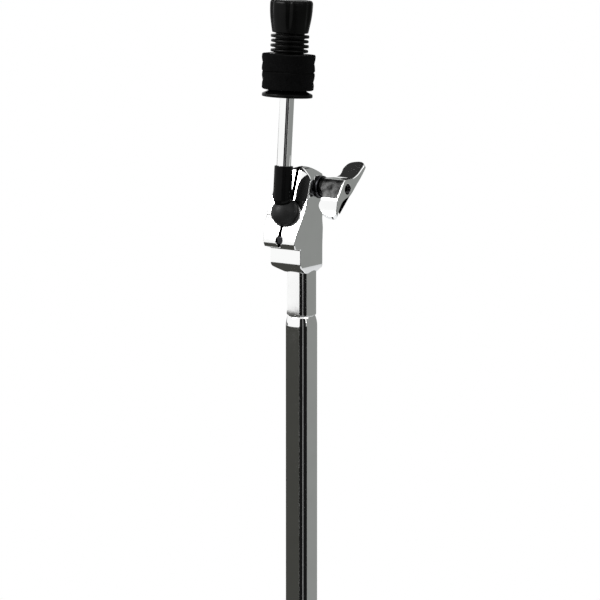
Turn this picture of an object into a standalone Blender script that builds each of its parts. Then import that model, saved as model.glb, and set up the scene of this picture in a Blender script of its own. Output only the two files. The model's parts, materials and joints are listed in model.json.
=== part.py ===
"""Straight three-section cymbal stand with a ball tilter on a folding tripod.

Metres, +Z up. The stand's front is -Y: the ball and the rod sit on that side of the tubes.
The wing nut of the tilter is on the +X side. The floor is z = 0.
"""

import math

import bmesh
import bpy
from mathutils import Matrix, Vector

MM = 0.001
PART = "cymbal_stand"
CUTTERS = "cutters"
STEPS = 24
FINE_STEPS = 28

# Gap between neighbours that touch or slide
FIT = 0.3 * MM

# Tubes
TOP_TUBE_OD = 19.05 * MM
MIDDLE_TUBE_OD = 25.4 * MM
BASE_TUBE_OD = 30.0 * MM
TUBE_WALL = 1.0 * MM
BASE_TUBE_FOOT = 48.0 * MM
BASE_TUBE_LENGTH = 512.0 * MM
MIDDLE_TUBE_SHOWN = 190.0 * MM
MIDDLE_TUBE_INSIDE = 440.0 * MM
TOP_TUBE_SHOWN = 212.0 * MM
TOP_TUBE_INSIDE = 440.0 * MM
CRIMP_DROP = 1.6 * MM
CRIMP_HEIGHT = 5.6 * MM

# Height clamps and memory locks
CLAMP_WALL = 4.2 * MM
CLAMP_BELOW = 22.0 * MM
CLAMP_ABOVE = 10.0 * MM
CLAMP_SLIT = 2.4 * MM
EAR_THICKNESS = 6.0 * MM
EAR_REACH = 15.0 * MM
EAR_HEIGHT = 18.0 * MM
BUSH_INSIDE = 30.0 * MM
BUSH_FLANGE = 2.0 * MM
BUSH_FLANGE_REACH = 2.4 * MM
LOCK_HEIGHT = 13.0 * MM
LOCK_WALL = 4.5 * MM
LOCK_EAR_THICKNESS = 4.5 * MM
LOCK_EAR_REACH = 9.0 * MM
BOLT_RADIUS = 3.0 * MM
NUT_ACROSS_FLATS = 10.0 * MM
NUT_THICKNESS = 5.0 * MM
KEY_SQUARE = 5.0 * MM
KEY_HEAD = 8.0 * MM

# Wing bolts of the clamps and the leg collar
WING_HUB_RADIUS = 6.2 * MM
WING_HUB_LENGTH = 18.0 * MM
WING_SPAN = 36.0 * MM
WING_THICKNESS = 4.0 * MM
WING_TIP_RADIUS = 6.0 * MM
WING_TIP_HEIGHT = 17.0 * MM

# Tripod
LEG_ANGLE_OPEN = math.radians(50.0)
LEG_ANGLE_FOLDED = math.radians(3.0)
LEG_HEADINGS = (-90.0, 30.0, 150.0)
PIVOT_RADIUS = 27.0 * MM
LEG_TO_BRACE = 180.0 * MM
BRACE_LENGTH = 160.0 * MM
HUB_PIVOT_HEIGHT = 65.0 * MM
HUB_HEIGHT = 26.0 * MM
COLLAR_HEIGHT = 30.0 * MM
COLLAR_RADIUS = 20.4 * MM
LINER_WALL = 1.4 * MM
LUG_THICKNESS = 8.4 * MM
STRAP_THICKNESS = 2.0 * MM
STRAP_HALF_WIDTH = 6.0 * MM
BRACE_THICKNESS = 3.0 * MM
BRACE_HALF_WIDTH = 5.0 * MM
PIN_RADIUS = 2.5 * MM
PIN_HEAD = 1.2 * MM
SPACER_FROM_END = 63.4 * MM
FOOT_RADIUS = 11.0 * MM
FOOT_LENGTH = 30.0 * MM
FOOT_SINK = 2.0 * MM

# Ball tilter: heights above the top tube's end, forward is towards -Y
BALL_RADIUS = 8.65 * MM
BALL_HEIGHT = 64.7 * MM
BALL_FORWARD = 17.4 * MM
NECK_RADIUS = 8.9 * MM
PLUG_LENGTH = 28.0 * MM
SLIT_WIDTH = 1.6 * MM
SLIT_FOOT_BELOW_BALL = 20.6 * MM
LEDGE_GAP = 0.8 * MM
JAW_PIN_RADIUS = 2.4 * MM
JAW_PIN_BELOW_BALL = 16.4 * MM
CLAMP_BOLT_ABOVE_BALL = 15.0 * MM
JAW_HALF_WIDTH = 13.3 * MM
JAW_LOBE_RADIUS = 11.2 * MM
JAW_CORNER_REACH = 12.3 * MM
JAW_BULGE = 0.4 * MM
SHOULDER_BELOW_TOP = 8.2 * MM
BACK_WAIST = 6.1 * MM
BACK_WAIST_BELOW_BALL = 4.0 * MM
LOWER_HALF_WIDTH = 11.2 * MM
LOWER_TOP_BELOW_BALL = 22.0 * MM
LOWER_FOOT_BELOW_BALL = 38.0 * MM
LOWER_FOOT_HALF_WIDTH = 7.0 * MM
LOWER_CORNER = 4.0 * MM
LOWER_FORWARD = 17.0 * MM
TOE_FORWARD = 24.2 * MM
TOE_BELOW_BALL = 18.0 * MM
TOE_CORNER = 1.5 * MM
FRONT_KNEE_FORWARD = 20.2 * MM
FRONT_KNEE_BELOW_BALL = 7.0 * MM
FRONT_MIDDLE_FORWARD = 15.3 * MM
FRONT_MIDDLE_ABOVE_BALL = 2.0 * MM
FRONT_TOP_FORWARD = 9.4 * MM
FRONT_TOP_ABOVE_BALL = 20.0 * MM
THROAT_HEIGHT = 16.0 * MM
WALL_RADIUS = 28.0 * MM
WALL_FORWARD = 8.0 * MM
WALL_ABOVE_BALL = 13.0 * MM
WALL_DEPTH = 7.0 * MM
WALL_LEAN = math.radians(19.0)
BOSS_RADIUS = 6.6 * MM
BOSS_PROUD = 0.6 * MM
JAW_NUT_ACROSS_FLATS = 9.0 * MM
WASHER_RADIUS = 6.6 * MM
WASHER_THICKNESS = 1.5 * MM
SCREW_PLAY = 0.9 * MM

# Wing nut of the tilter
WING_NUT_LENGTH = 18.0 * MM
WING_NUT_HALF_SPAN = 22.3 * MM
WING_NUT_BLADE = 6.4 * MM
WING_NUT_FOOT_RADIUS = 5.8 * MM
WING_NUT_HEAD_RADIUS = 6.8 * MM
WING_NUT_TURN = math.radians(52.0)
BLADE_FOOT_SPAN = 16.0 * MM
BLADE_FOOT_HEIGHT = 4.8 * MM
BLADE_LOW_CORNER = 3.0 * MM
BLADE_HIGH_CORNER = 2.0 * MM
SOCKET_ACROSS_FLATS = 3.4 * MM
SOCKET_DEPTH = 3.5 * MM
SCREW_RECESS = 1.5 * MM

# Rod, its holder and what it carries: distances along the rod from the ball's centre
ROD_LEAN_BACK = math.radians(4.8)
ROD_OFFSET = 3.5 * MM
ROD_RADIUS = 4.3 * MM
THREAD_RADIUS = 3.9 * MM
HOLDER_RADIUS = 5.65 * MM
HOLDER_FOOT = 4.2 * MM
HOLDER_TOP = 27.2 * MM
HOLDER_ROUNDING = 4.6 * MM
ROD_FOOT = 8.0 * MM
SEAT_AT = 69.7 * MM
RIM_RADIUS = 15.3 * MM
RIM_THICKNESS = 2.3 * MM
SEAT_HEIGHT = 4.2 * MM
SEAT_TOP_RADIUS = 11.5 * MM
FELT_RADIUS = 15.8 * MM
FELT_THICKNESS = 10.4 * MM
FELT_ROUNDING = 1.6 * MM
SLEEVE_RADIUS = 6.0 * MM
RIB_COUNT = 5
RIB_PITCH = 2.9 * MM
RIB_RADIUS = 11.6 * MM
RIB_CORE_RADIUS = 8.8 * MM
HEAD_FOOT_RADIUS = 10.9 * MM
HEAD_TOP_RADIUS = 12.95 * MM
HEAD_HEIGHT = 21.0 * MM
HEAD_CORNER = 2.2 * MM
HEAD_GROOVES = 6
GROOVE_RADIUS = 1.5 * MM
INSERT_RADIUS = 6.2 * MM
INSERT_LENGTH = 18.0 * MM

# Colours of the surfaces
LOOKS = {
    "chrome": ((0.80, 0.81, 0.80), 0.08, 1.0),
    "steel": ((0.42, 0.43, 0.42), 0.3, 1.0),
    "black_nylon": ((0.012, 0.012, 0.012), 0.32, 0.0),
    "ball_nylon": ((0.05, 0.05, 0.05), 0.5, 0.0),
    "black_plastic": ((0.014, 0.014, 0.014), 0.38, 0.0),
    "felt": ((0.008, 0.008, 0.008), 0.95, 0.0),
    "brass": ((0.62, 0.47, 0.22), 0.3, 1.0),
    "rubber": ((0.02, 0.02, 0.02), 0.7, 0.0),
}


# Scene and placing


def clear_scene():
    for thing in list(bpy.data.objects):
        bpy.data.objects.remove(thing)
    for name in (PART, CUTTERS):
        group = bpy.data.collections.new(name)
        bpy.context.scene.collection.children.link(group)


def look_of(name):
    """The material of that name, made on first use."""
    found = bpy.data.materials.get(name)
    if found:
        return found
    colour, roughness, metallic = LOOKS[name]
    made = bpy.data.materials.new(name)
    made.use_nodes = True
    shader = made.node_tree.nodes["Principled BSDF"]
    shader.inputs["Base Color"].default_value = (*colour, 1.0)
    shader.inputs["Roughness"].default_value = roughness
    shader.inputs["Metallic"].default_value = metallic
    return made


def place(name, mesh, look, parent, at=(0, 0, 0), axes=None):
    """An object of the part with the mesh. axes is the 3 x 3 rotation of its local axes."""
    part = bpy.data.objects.new(name, mesh)
    mesh.materials.clear()
    mesh.materials.append(look_of(look))
    bpy.data.collections[PART].objects.link(part)
    part.parent = parent
    part.matrix_local = Matrix.LocRotScale(Vector(at), (axes or Matrix.Identity(3)).to_quaternion(), None)
    return part


def frame_at(name, parent, at, axes=None):
    """An empty that carries pieces, with its own axes."""
    empty = bpy.data.objects.new(name, None)
    bpy.data.collections[PART].objects.link(empty)
    empty.parent = parent
    empty.matrix_local = Matrix.LocRotScale(Vector(at), (axes or Matrix.Identity(3)).to_quaternion(), None)
    return empty


def axes_from(x_axis, z_axis):
    """Rotation whose local X and Z point along the two directions."""
    x_axis = Vector(x_axis).normalized()
    z_axis = Vector(z_axis).normalized()
    return Matrix((x_axis, z_axis.cross(x_axis), z_axis)).transposed()


ALONG_X = axes_from((0, 1, 0), (1, 0, 0))
ALONG_MINUS_X = axes_from((0, 1, 0), (-1, 0, 0))
ALONG_Y = axes_from((0, 0, 1), (0, 1, 0))
SIDE_VIEW = axes_from((0, -1, 0), (-1, 0, 0))
FRONT_VIEW = axes_from((1, 0, 0), (0, -1, 0))


# Shapes


def turned(name, profile, look, parent, at=(0, 0, 0), axes=None, steps=STEPS, ring=False):
    """Solid of revolution about local Z from (radius, height) points that run down its outer side.

    A ring's profile is a closed loop, and any other profile begins and ends on the axis.
    """
    mesh = bpy.data.meshes.new(name)
    edges = [(i, i + 1) for i in range(len(profile) - 1)]
    if ring:
        edges.append((len(profile) - 1, 0))
    mesh.from_pydata([(radius, 0.0, height) for radius, height in profile], edges, [])
    part = place(name, mesh, look, parent, at, axes)
    screw = part.modifiers.new("revolve", "SCREW")
    screw.steps = steps
    screw.render_steps = steps
    screw.use_merge_vertices = True
    screw.merge_threshold = 0.001 * MM
    return part


def cylinder(name, radius, foot, top, look, parent, at=(0, 0, 0), axes=None, steps=STEPS):
    """A round bar about local Z between two heights."""
    return tapered(name, radius, radius, foot, top, look, parent, at, axes, steps)


def tapered(name, foot_radius, top_radius, foot, top, look, parent, at=(0, 0, 0), axes=None, steps=STEPS):
    """A round bar about local Z whose radius changes evenly from its foot to its top."""
    mesh = bpy.data.meshes.new(name)
    shape = bmesh.new()
    bmesh.ops.create_cone(
        shape,
        cap_ends=True,
        segments=steps,
        radius1=foot_radius,
        radius2=top_radius,
        depth=top - foot,
        matrix=Matrix.Translation((0, 0, (top + foot) / 2)),
    )
    shape.to_mesh(mesh)
    shape.free()
    return place(name, mesh, look, parent, at, axes)


def ball(name, radius, look, parent, at=(0, 0, 0), axes=None, steps=STEPS):
    mesh = bpy.data.meshes.new(name)
    shape = bmesh.new()
    bmesh.ops.create_uvsphere(shape, u_segments=steps, v_segments=steps // 2, radius=radius)
    shape.to_mesh(mesh)
    shape.free()
    return place(name, mesh, look, parent, at, axes)


def block(name, low, high, look, parent, at=(0, 0, 0), axes=None, rounding=0.0):
    """A box between two corners, with its edges rounded if asked."""
    low = Vector(low)
    high = Vector(high)
    mesh = bpy.data.meshes.new(name)
    shape = bmesh.new()
    size = Matrix.Diagonal((*(high - low), 1.0))
    bmesh.ops.create_cube(shape, size=1.0, matrix=Matrix.Translation((low + high) / 2) @ size)
    shape.to_mesh(mesh)
    shape.free()
    part = place(name, mesh, look, parent, at, axes)
    if rounding:
        bevel = part.modifiers.new("rounded edges", "BEVEL")
        bevel.width = rounding
        bevel.segments = 2
    return part


def plate(name, outlines, thickness, look, parent, at=(0, 0, 0), axes=None):
    """A flat piece in local XY, half its thickness to each side. The outlines after the first are holes."""
    drawn = bpy.data.curves.new(name, "CURVE")
    drawn.dimensions = "2D"
    drawn.fill_mode = "BOTH"
    drawn.extrude = thickness / 2
    for outline in outlines:
        line = drawn.splines.new("POLY")
        line.points.add(len(outline) - 1)
        for point, (x, y) in zip(line.points, outline):
            point.co = (x, y, 0.0, 1.0)
        line.use_cyclic_u = True
    flat = bpy.data.objects.new(name + "_outline", drawn)
    bpy.context.scene.collection.objects.link(flat)
    bpy.context.view_layer.update()
    mesh = bpy.data.meshes.new_from_object(flat.evaluated_get(bpy.context.evaluated_depsgraph_get()))
    bpy.data.objects.remove(flat)
    bpy.data.curves.remove(drawn)
    shape = bmesh.new()
    shape.from_mesh(mesh)
    bmesh.ops.remove_doubles(shape, verts=shape.verts, dist=0.001 * MM)
    bmesh.ops.recalc_face_normals(shape, faces=shape.faces)
    shape.to_mesh(mesh)
    shape.free()
    return place(name, mesh, look, parent, at, axes)


def cut(part, cutter, operation="DIFFERENCE"):
    """Takes the cutter away from the part, or joins or keeps what they share, and hides the cutter."""
    step = part.modifiers.new(cutter.name, "BOOLEAN")
    step.operation = operation
    step.object = cutter
    bpy.data.collections[PART].objects.unlink(cutter)
    bpy.data.collections[CUTTERS].objects.link(cutter)
    cutter.hide_render = True
    cutter.display_type = "WIRE"


def settle():
    """Turns every piece into its final mesh and shades its round faces smooth."""
    bpy.context.view_layer.update()
    graph = bpy.context.evaluated_depsgraph_get()
    parts = [part for part in bpy.data.collections[PART].objects if part.type == "MESH"]
    meshes = [bpy.data.meshes.new_from_object(part.evaluated_get(graph)) for part in parts]
    for part, mesh in zip(parts, meshes):
        part.modifiers.clear()
        part.data = mesh
        mesh.name = part.name
        mesh.shade_smooth()
        mesh.set_sharp_from_angle(angle=math.radians(35))


def arc(centre, radius, start, end, count):
    """Points on a circle from one angle to another, in degrees."""
    angles = [math.radians(start + (end - start) * i / (count - 1)) for i in range(count)]
    return [(centre[0] + radius * math.cos(a), centre[1] + radius * math.sin(a)) for a in angles]


def circle(centre, radius, count=12):
    return arc(centre, radius, 0, 360 - 360 / count, count)


def hexagon(across_flats):
    return circle((0, 0), across_flats / math.sqrt(3), 6)


def strap_outline(length, half_width):
    """A strap from its first hole at the origin to a round end whose tip lies at the length."""
    end = (length - half_width, 0.0)
    return arc((0, 0), half_width, 90, 270, 9) + arc(end, half_width, -90, 90, 9)


def tube_profile(outer, inner, foot, top):
    return [(outer, top), (outer, foot), (inner, foot), (inner, top)]


# Levels worked out from the sizes

TOP_R = TOP_TUBE_OD / 2
MIDDLE_R = MIDDLE_TUBE_OD / 2
BASE_R = BASE_TUBE_OD / 2
BASE_TOP = BASE_TUBE_FOOT + BASE_TUBE_LENGTH
MIDDLE_TOP = BASE_TOP + MIDDLE_TUBE_SHOWN
TOP_TOP = MIDDLE_TOP + TOP_TUBE_SHOWN
FOOT_HEIGHT = FOOT_RADIUS - FOOT_SINK
STRAP_GAP = LUG_THICKNESS + 2 * FIT
LEG_OUTSIDE = STRAP_GAP / 2 + STRAP_THICKNESS


def brace_angle(leg_angle):
    """Rise of the brace above level that closes the triangle of leg, brace and tube."""
    return math.acos(LEG_TO_BRACE * math.sin(leg_angle) / BRACE_LENGTH)


def collar_height(leg_angle):
    rise = BRACE_LENGTH * math.sin(brace_angle(leg_angle))
    return HUB_PIVOT_HEIGHT + rise + LEG_TO_BRACE * math.cos(leg_angle)


COLLAR_AT = collar_height(LEG_ANGLE_OPEN)
LEG_LENGTH = (COLLAR_AT - FOOT_HEIGHT) / math.cos(LEG_ANGLE_OPEN)
SPACER_AT = LEG_LENGTH - SPACER_FROM_END


# Fasteners


def wing_bolt(name, reach, parent, at, axes):
    """A bolt along local Z from -reach to a winged head that begins at 0."""
    bolt = cylinder(name, BOLT_RADIUS, -reach, WING_HUB_LENGTH / 2, "chrome", parent, at, axes, 12)
    hub_radii = (WING_HUB_RADIUS, WING_HUB_RADIUS * 0.8)
    hub = tapered(name + "_hub", *hub_radii, 0, WING_HUB_LENGTH, "chrome", parent, at, axes, 20)
    tip = WING_SPAN / 2 - WING_TIP_RADIUS
    outline = arc((tip, WING_TIP_HEIGHT), WING_TIP_RADIUS, -60, 120, 7)
    outline += [(0, WING_TIP_HEIGHT - WING_TIP_RADIUS / 6)]
    outline += arc((-tip, WING_TIP_HEIGHT), WING_TIP_RADIUS, 60, 240, 7)
    outline += [(0, WING_HUB_LENGTH / 4)]
    across = axes @ axes_from((1, 0, 0), (0, -1, 0))
    wings = plate(name + "_wings", [outline], WING_THICKNESS, "chrome", parent, at, across)
    cut(bolt, hub, "UNION")
    cut(bolt, wings, "UNION")
    return bolt


def nut(name, across_flats, bore, parent, at, axes):
    """A hexagon nut whose face lies at the place and whose body runs along -Z from there."""
    centre = Vector(at) - axes @ Vector((0, 0, NUT_THICKNESS / 2))
    return plate(
        name,
        [hexagon(across_flats), circle((0, 0), bore)],
        NUT_THICKNESS,
        "steel",
        parent,
        centre,
        axes,
    )


# Height clamps


def height_clamp(prefix, outer_r, inner_r, tube_top, parent):
    """The clamp on top of an outer tube: cast ring with two ears, nylon bush, wing bolt and nut."""
    foot = tube_top - CLAMP_BELOW
    top = tube_top + CLAMP_ABOVE
    ring_r = outer_r + FIT + CLAMP_WALL
    ear_far = ring_r + EAR_REACH
    ear_side = CLAMP_SLIT / 2 + EAR_THICKNESS
    middle = (foot + top) / 2
    ring = tube_profile(ring_r, outer_r + FIT, foot, top)
    clamp = turned(prefix + "_clamp", ring, "chrome", parent, ring=True)
    ears = block(
        prefix + "_ears",
        (-ear_side, outer_r + FIT + CLAMP_WALL / 2, middle - EAR_HEIGHT / 2),
        (ear_side, ear_far, middle + EAR_HEIGHT / 2),
        "chrome",
        parent,
    )
    cut(clamp, ears, "UNION")
    slit = block(
        prefix + "_slit",
        (-CLAMP_SLIT / 2, 0, foot - MM),
        (CLAMP_SLIT / 2, ear_far + MM, top + MM),
        "chrome",
        parent,
    )
    cut(clamp, slit)
    bolt_at = (0, ear_far - EAR_REACH / 2, middle)
    hole = cylinder(
        prefix + "_hole",
        BOLT_RADIUS + FIT,
        -2 * ear_side,
        2 * ear_side,
        "chrome",
        parent,
        bolt_at,
        ALONG_X,
        12,
    )
    cut(clamp, hole)
    head_at = (ear_side + FIT, bolt_at[1], middle)
    wing_bolt(prefix + "_wing_bolt", 2 * ear_side + NUT_THICKNESS + 2 * MM, parent, head_at, ALONG_X)
    nut_at = (-ear_side - FIT, bolt_at[1], middle)
    nut(prefix + "_clamp_nut", NUT_ACROSS_FLATS, BOLT_RADIUS + FIT, parent, nut_at, ALONG_X)
    bush_in = inner_r + FIT
    bush_out = outer_r - TUBE_WALL - FIT
    flange_r = outer_r + FIT + BUSH_FLANGE_REACH
    bush = [
        (flange_r, top + FIT + BUSH_FLANGE),
        (flange_r, top + FIT),
        (outer_r, top + FIT),
        (outer_r, tube_top + FIT),
        (bush_out, tube_top + FIT),
        (bush_out, tube_top - BUSH_INSIDE),
        (bush_in, tube_top - BUSH_INSIDE),
        (bush_in, top + FIT + BUSH_FLANGE),
    ]
    turned(prefix + "_bush", bush, "black_nylon", parent, ring=True)
    return top + 2 * FIT + BUSH_FLANGE


def memory_lock(prefix, inner_r, foot, parent):
    """The ring that stops a tube at a set height, with the key screw that pinches it."""
    top = foot + LOCK_HEIGHT
    ring_r = inner_r + FIT + LOCK_WALL
    ear_far = ring_r + LOCK_EAR_REACH
    ear_side = CLAMP_SLIT / 2 + LOCK_EAR_THICKNESS
    ring = tube_profile(ring_r, inner_r + FIT, foot, top)
    lock = turned(prefix + "_lock", ring, "chrome", parent, ring=True)
    ears = block(
        prefix + "_lock_ears",
        (-ear_side, inner_r + FIT + LOCK_WALL / 2, foot + MM),
        (ear_side, ear_far, top - MM),
        "chrome",
        parent,
    )
    cut(lock, ears, "UNION")
    slit = block(
        prefix + "_lock_slit",
        (-CLAMP_SLIT / 2, 0, foot - MM),
        (CLAMP_SLIT / 2, ear_far + MM, top + MM),
        "chrome",
        parent,
    )
    cut(lock, slit)
    screw_at = (0, ear_far - LOCK_EAR_REACH / 2, (foot + top) / 2)
    hole = cylinder(
        prefix + "_lock_hole",
        BOLT_RADIUS + FIT,
        -2 * ear_side,
        2 * ear_side,
        "chrome",
        parent,
        screw_at,
        ALONG_X,
        12,
    )
    cut(lock, hole)
    screw = cylinder(
        prefix + "_lock_screw",
        BOLT_RADIUS,
        -ear_side,
        ear_side + 2 * FIT,
        "steel",
        parent,
        screw_at,
        ALONG_X,
        12,
    )
    head_foot = ear_side + FIT
    flange = cylinder(
        prefix + "_screw_flange",
        1.6 * BOLT_RADIUS,
        head_foot,
        head_foot + MM,
        "steel",
        parent,
        screw_at,
        ALONG_X,
        12,
    )
    half = KEY_SQUARE / 2
    head = block(
        prefix + "_screw_key",
        (-half, -half, head_foot),
        (half, half, head_foot + KEY_HEAD),
        "steel",
        parent,
        screw_at,
        ALONG_X,
    )
    cut(screw, flange, "UNION")
    cut(screw, head, "UNION")


# Tubes


def tubes(root):
    base = [(BASE_R, BASE_R - TUBE_WALL, BASE_TUBE_FOOT, BASE_TOP)]
    middle = [(MIDDLE_R, MIDDLE_R - TUBE_WALL, BASE_TOP - MIDDLE_TUBE_INSIDE, MIDDLE_TOP)]
    for name, sizes in (("base_tube", base), ("middle_tube", middle)):
        turned(name, tube_profile(*sizes[0]), "chrome", root, ring=True, steps=FINE_STEPS)
    foot = MIDDLE_TOP - TOP_TUBE_INSIDE
    drawn_in = TOP_R - CRIMP_DROP
    top_tube = [
        (drawn_in, TOP_TOP),
        (TOP_R - CRIMP_DROP * 0.35, TOP_TOP - CRIMP_HEIGHT * 0.45),
        (TOP_R, TOP_TOP - CRIMP_HEIGHT),
        (TOP_R, foot),
        (TOP_R - TUBE_WALL, foot),
        (TOP_R - TUBE_WALL, TOP_TOP - CRIMP_HEIGHT),
        (drawn_in - TUBE_WALL, TOP_TOP),
    ]
    turned("top_tube", top_tube, "chrome", root, ring=True, steps=FINE_STEPS)
    plug = [
        (0, BASE_TUBE_FOOT + 12 * MM),
        (BASE_R - TUBE_WALL - FIT, BASE_TUBE_FOOT + 12 * MM),
        (BASE_R - TUBE_WALL - FIT, BASE_TUBE_FOOT - FIT),
        (BASE_R, BASE_TUBE_FOOT - FIT),
        (BASE_R - 2 * MM, BASE_TUBE_FOOT - 4 * MM),
        (0, BASE_TUBE_FOOT - 4 * MM),
    ]
    turned("base_plug", plug, "black_plastic", root)


# Tripod


def radial_axes(heading):
    """Local X points out along the heading, local Z up."""
    out = (math.cos(heading), math.sin(heading), 0.0)
    return axes_from(out, (0, 0, 1))


def brace_hub(root):
    """Casting round the foot of the base tube, with a fork for each brace."""
    foot = HUB_PIVOT_HEIGHT - HUB_HEIGHT / 2
    top = HUB_PIVOT_HEIGHT + HUB_HEIGHT / 2
    ring = tube_profile(COLLAR_RADIUS, BASE_R + FIT, foot, top)
    hub = turned("brace_hub", ring, "chrome", root, ring=True)
    lug_end = PIVOT_RADIUS + BRACE_HALF_WIDTH
    for number, degrees in enumerate(LEG_HEADINGS, 1):
        axes = radial_axes(math.radians(degrees))
        lug = block(
            f"hub_lug_{number}",
            (COLLAR_RADIUS - 2 * MM, -LUG_THICKNESS / 2, HUB_PIVOT_HEIGHT - BRACE_HALF_WIDTH),
            (lug_end, LUG_THICKNESS / 2, HUB_PIVOT_HEIGHT + BRACE_HALF_WIDTH),
            "chrome",
            root,
            axes=axes,
        )
        cut(hub, lug, "UNION")
    for number, degrees in enumerate(LEG_HEADINGS, 1):
        axes = radial_axes(math.radians(degrees))
        half = BRACE_THICKNESS / 2 + FIT
        fork_floor = PIVOT_RADIUS - BRACE_HALF_WIDTH - 2 * FIT
        low = (fork_floor, -half, foot)
        fork = block(f"hub_fork_{number}", low, (2 * lug_end, half, top), "chrome", root, axes=axes)
        cut(hub, fork)
        out = axes @ Vector((PIVOT_RADIUS, 0, HUB_PIVOT_HEIGHT))
        across = axes @ axes_from((1, 0, 0), (0, 1, 0))
        hole = cylinder(
            f"hub_hole_{number}",
            PIN_RADIUS + FIT,
            -LUG_THICKNESS,
            LUG_THICKNESS,
            "chrome",
            root,
            out,
            across,
            12,
        )
        cut(hub, hole)


def leg_collar(root):
    """Sliding casting with a lug for each leg, its nylon liner and its wing bolt."""
    foot = COLLAR_AT - COLLAR_HEIGHT / 2
    top = COLLAR_AT + COLLAR_HEIGHT / 2
    bore = BASE_R + 2 * FIT + LINER_WALL
    collar = turned("leg_collar", tube_profile(COLLAR_RADIUS, bore, foot, top), "chrome", root, ring=True)
    liner = turned(
        "collar_liner",
        tube_profile(BASE_R + FIT + LINER_WALL, BASE_R + FIT, foot, top),
        "black_nylon",
        root,
        ring=True,
    )
    for number, degrees in enumerate(LEG_HEADINGS, 1):
        axes = radial_axes(math.radians(degrees))
        lug = block(
            f"collar_lug_{number}",
            (COLLAR_RADIUS - 2 * MM, -LUG_THICKNESS / 2, COLLAR_AT - STRAP_HALF_WIDTH),
            (PIVOT_RADIUS + STRAP_HALF_WIDTH, LUG_THICKNESS / 2, COLLAR_AT + STRAP_HALF_WIDTH),
            "chrome",
            root,
            axes=axes,
        )
        cut(collar, lug, "UNION")
    boss_reach = COLLAR_RADIUS + 7 * MM
    boss = cylinder(
        "collar_boss", 7.5 * MM, bore + MM, boss_reach, "chrome", root, (0, 0, COLLAR_AT), ALONG_Y
    )
    cut(collar, boss, "UNION")
    for number, degrees in enumerate(LEG_HEADINGS, 1):
        axes = radial_axes(math.radians(degrees))
        out = axes @ Vector((PIVOT_RADIUS, 0, COLLAR_AT))
        across = axes @ axes_from((1, 0, 0), (0, 1, 0))
        hole = cylinder(
            f"collar_hole_{number}",
            PIN_RADIUS + FIT,
            -LUG_THICKNESS,
            LUG_THICKNESS,
            "chrome",
            root,
            out,
            across,
            12,
        )
        cut(collar, hole)
    bolt_hole = cylinder(
        "collar_bolt_hole",
        BOLT_RADIUS + FIT,
        0,
        2 * boss_reach,
        "chrome",
        root,
        (0, 0, COLLAR_AT),
        ALONG_Y,
        12,
    )
    cut(collar, bolt_hole)
    liner_hole = cylinder(
        "liner_bolt_hole",
        BOLT_RADIUS + FIT,
        0,
        2 * boss_reach,
        "chrome",
        root,
        (0, 0, COLLAR_AT),
        ALONG_Y,
        12,
    )
    cut(liner, liner_hole)
    head = boss_reach + FIT
    wing_bolt("collar_wing_bolt", head - BASE_R - FIT, root, (0, head, COLLAR_AT), ALONG_Y)


def leg(number, degrees, root):
    """Two straps with spacers between them, the pivot pin, the rubber foot and the brace."""
    heading = math.radians(degrees)
    out = Vector((math.cos(heading), math.sin(heading), 0))
    side = Vector((-math.sin(heading), math.cos(heading), 0))
    up = Vector((0, 0, 1))
    along = out * math.sin(LEG_ANGLE_OPEN) - up * math.cos(LEG_ANGLE_OPEN)
    pivot = out * PIVOT_RADIUS + up * COLLAR_AT
    hung = frame_at(f"leg_{number}_pivot", root, pivot, axes_from(along, side))
    holes = [circle((distance, 0), PIN_RADIUS + FIT) for distance in (0, LEG_TO_BRACE, SPACER_AT)]
    outline = strap_outline(LEG_LENGTH, STRAP_HALF_WIDTH)
    level = (STRAP_GAP + STRAP_THICKNESS) / 2
    plate(f"leg_{number}_left_strap", [outline, *holes], STRAP_THICKNESS, "chrome", hung, (0, 0, -level))
    plate(f"leg_{number}_right_strap", [outline, *holes], STRAP_THICKNESS, "chrome", hung, (0, 0, level))
    pin(f"leg_{number}_pivot_pin", LEG_OUTSIDE, hung, (0, 0, 0))
    spacer(f"leg_{number}_spacer", hung, (SPACER_AT, 0, 0))
    rubber_foot(f"leg_{number}_foot", hung, root)
    brace(number, out, side, root)


def pin(name, half_length, parent, at):
    """A rivet along local Z with a head outside each strap."""
    head = 1.7 * PIN_RADIUS
    profile = [
        (0, half_length + FIT + PIN_HEAD),
        (head * 0.7, half_length + FIT + PIN_HEAD),
        (head, half_length + FIT + PIN_HEAD * 0.4),
        (head, half_length + FIT),
        (PIN_RADIUS, half_length + FIT),
    ]
    profile += [(radius, -height) for radius, height in reversed(profile)]
    turned(name, profile, "steel", parent, at, steps=12)


def spacer(name, parent, at):
    """A rivet with a thicker waist that keeps the two straps apart."""
    waist = STRAP_GAP / 2 - FIT
    outside = LEG_OUTSIDE + FIT
    head = 1.7 * PIN_RADIUS
    profile = [
        (0, outside + PIN_HEAD),
        (head * 0.7, outside + PIN_HEAD),
        (head, outside + PIN_HEAD * 0.4),
        (head, outside),
        (PIN_RADIUS, outside),
        (PIN_RADIUS, waist),
        (PIN_RADIUS + MM, waist),
    ]
    profile += [(radius, -height) for radius, height in reversed(profile)]
    turned(name, profile, "steel", parent, at, steps=12)


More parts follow.
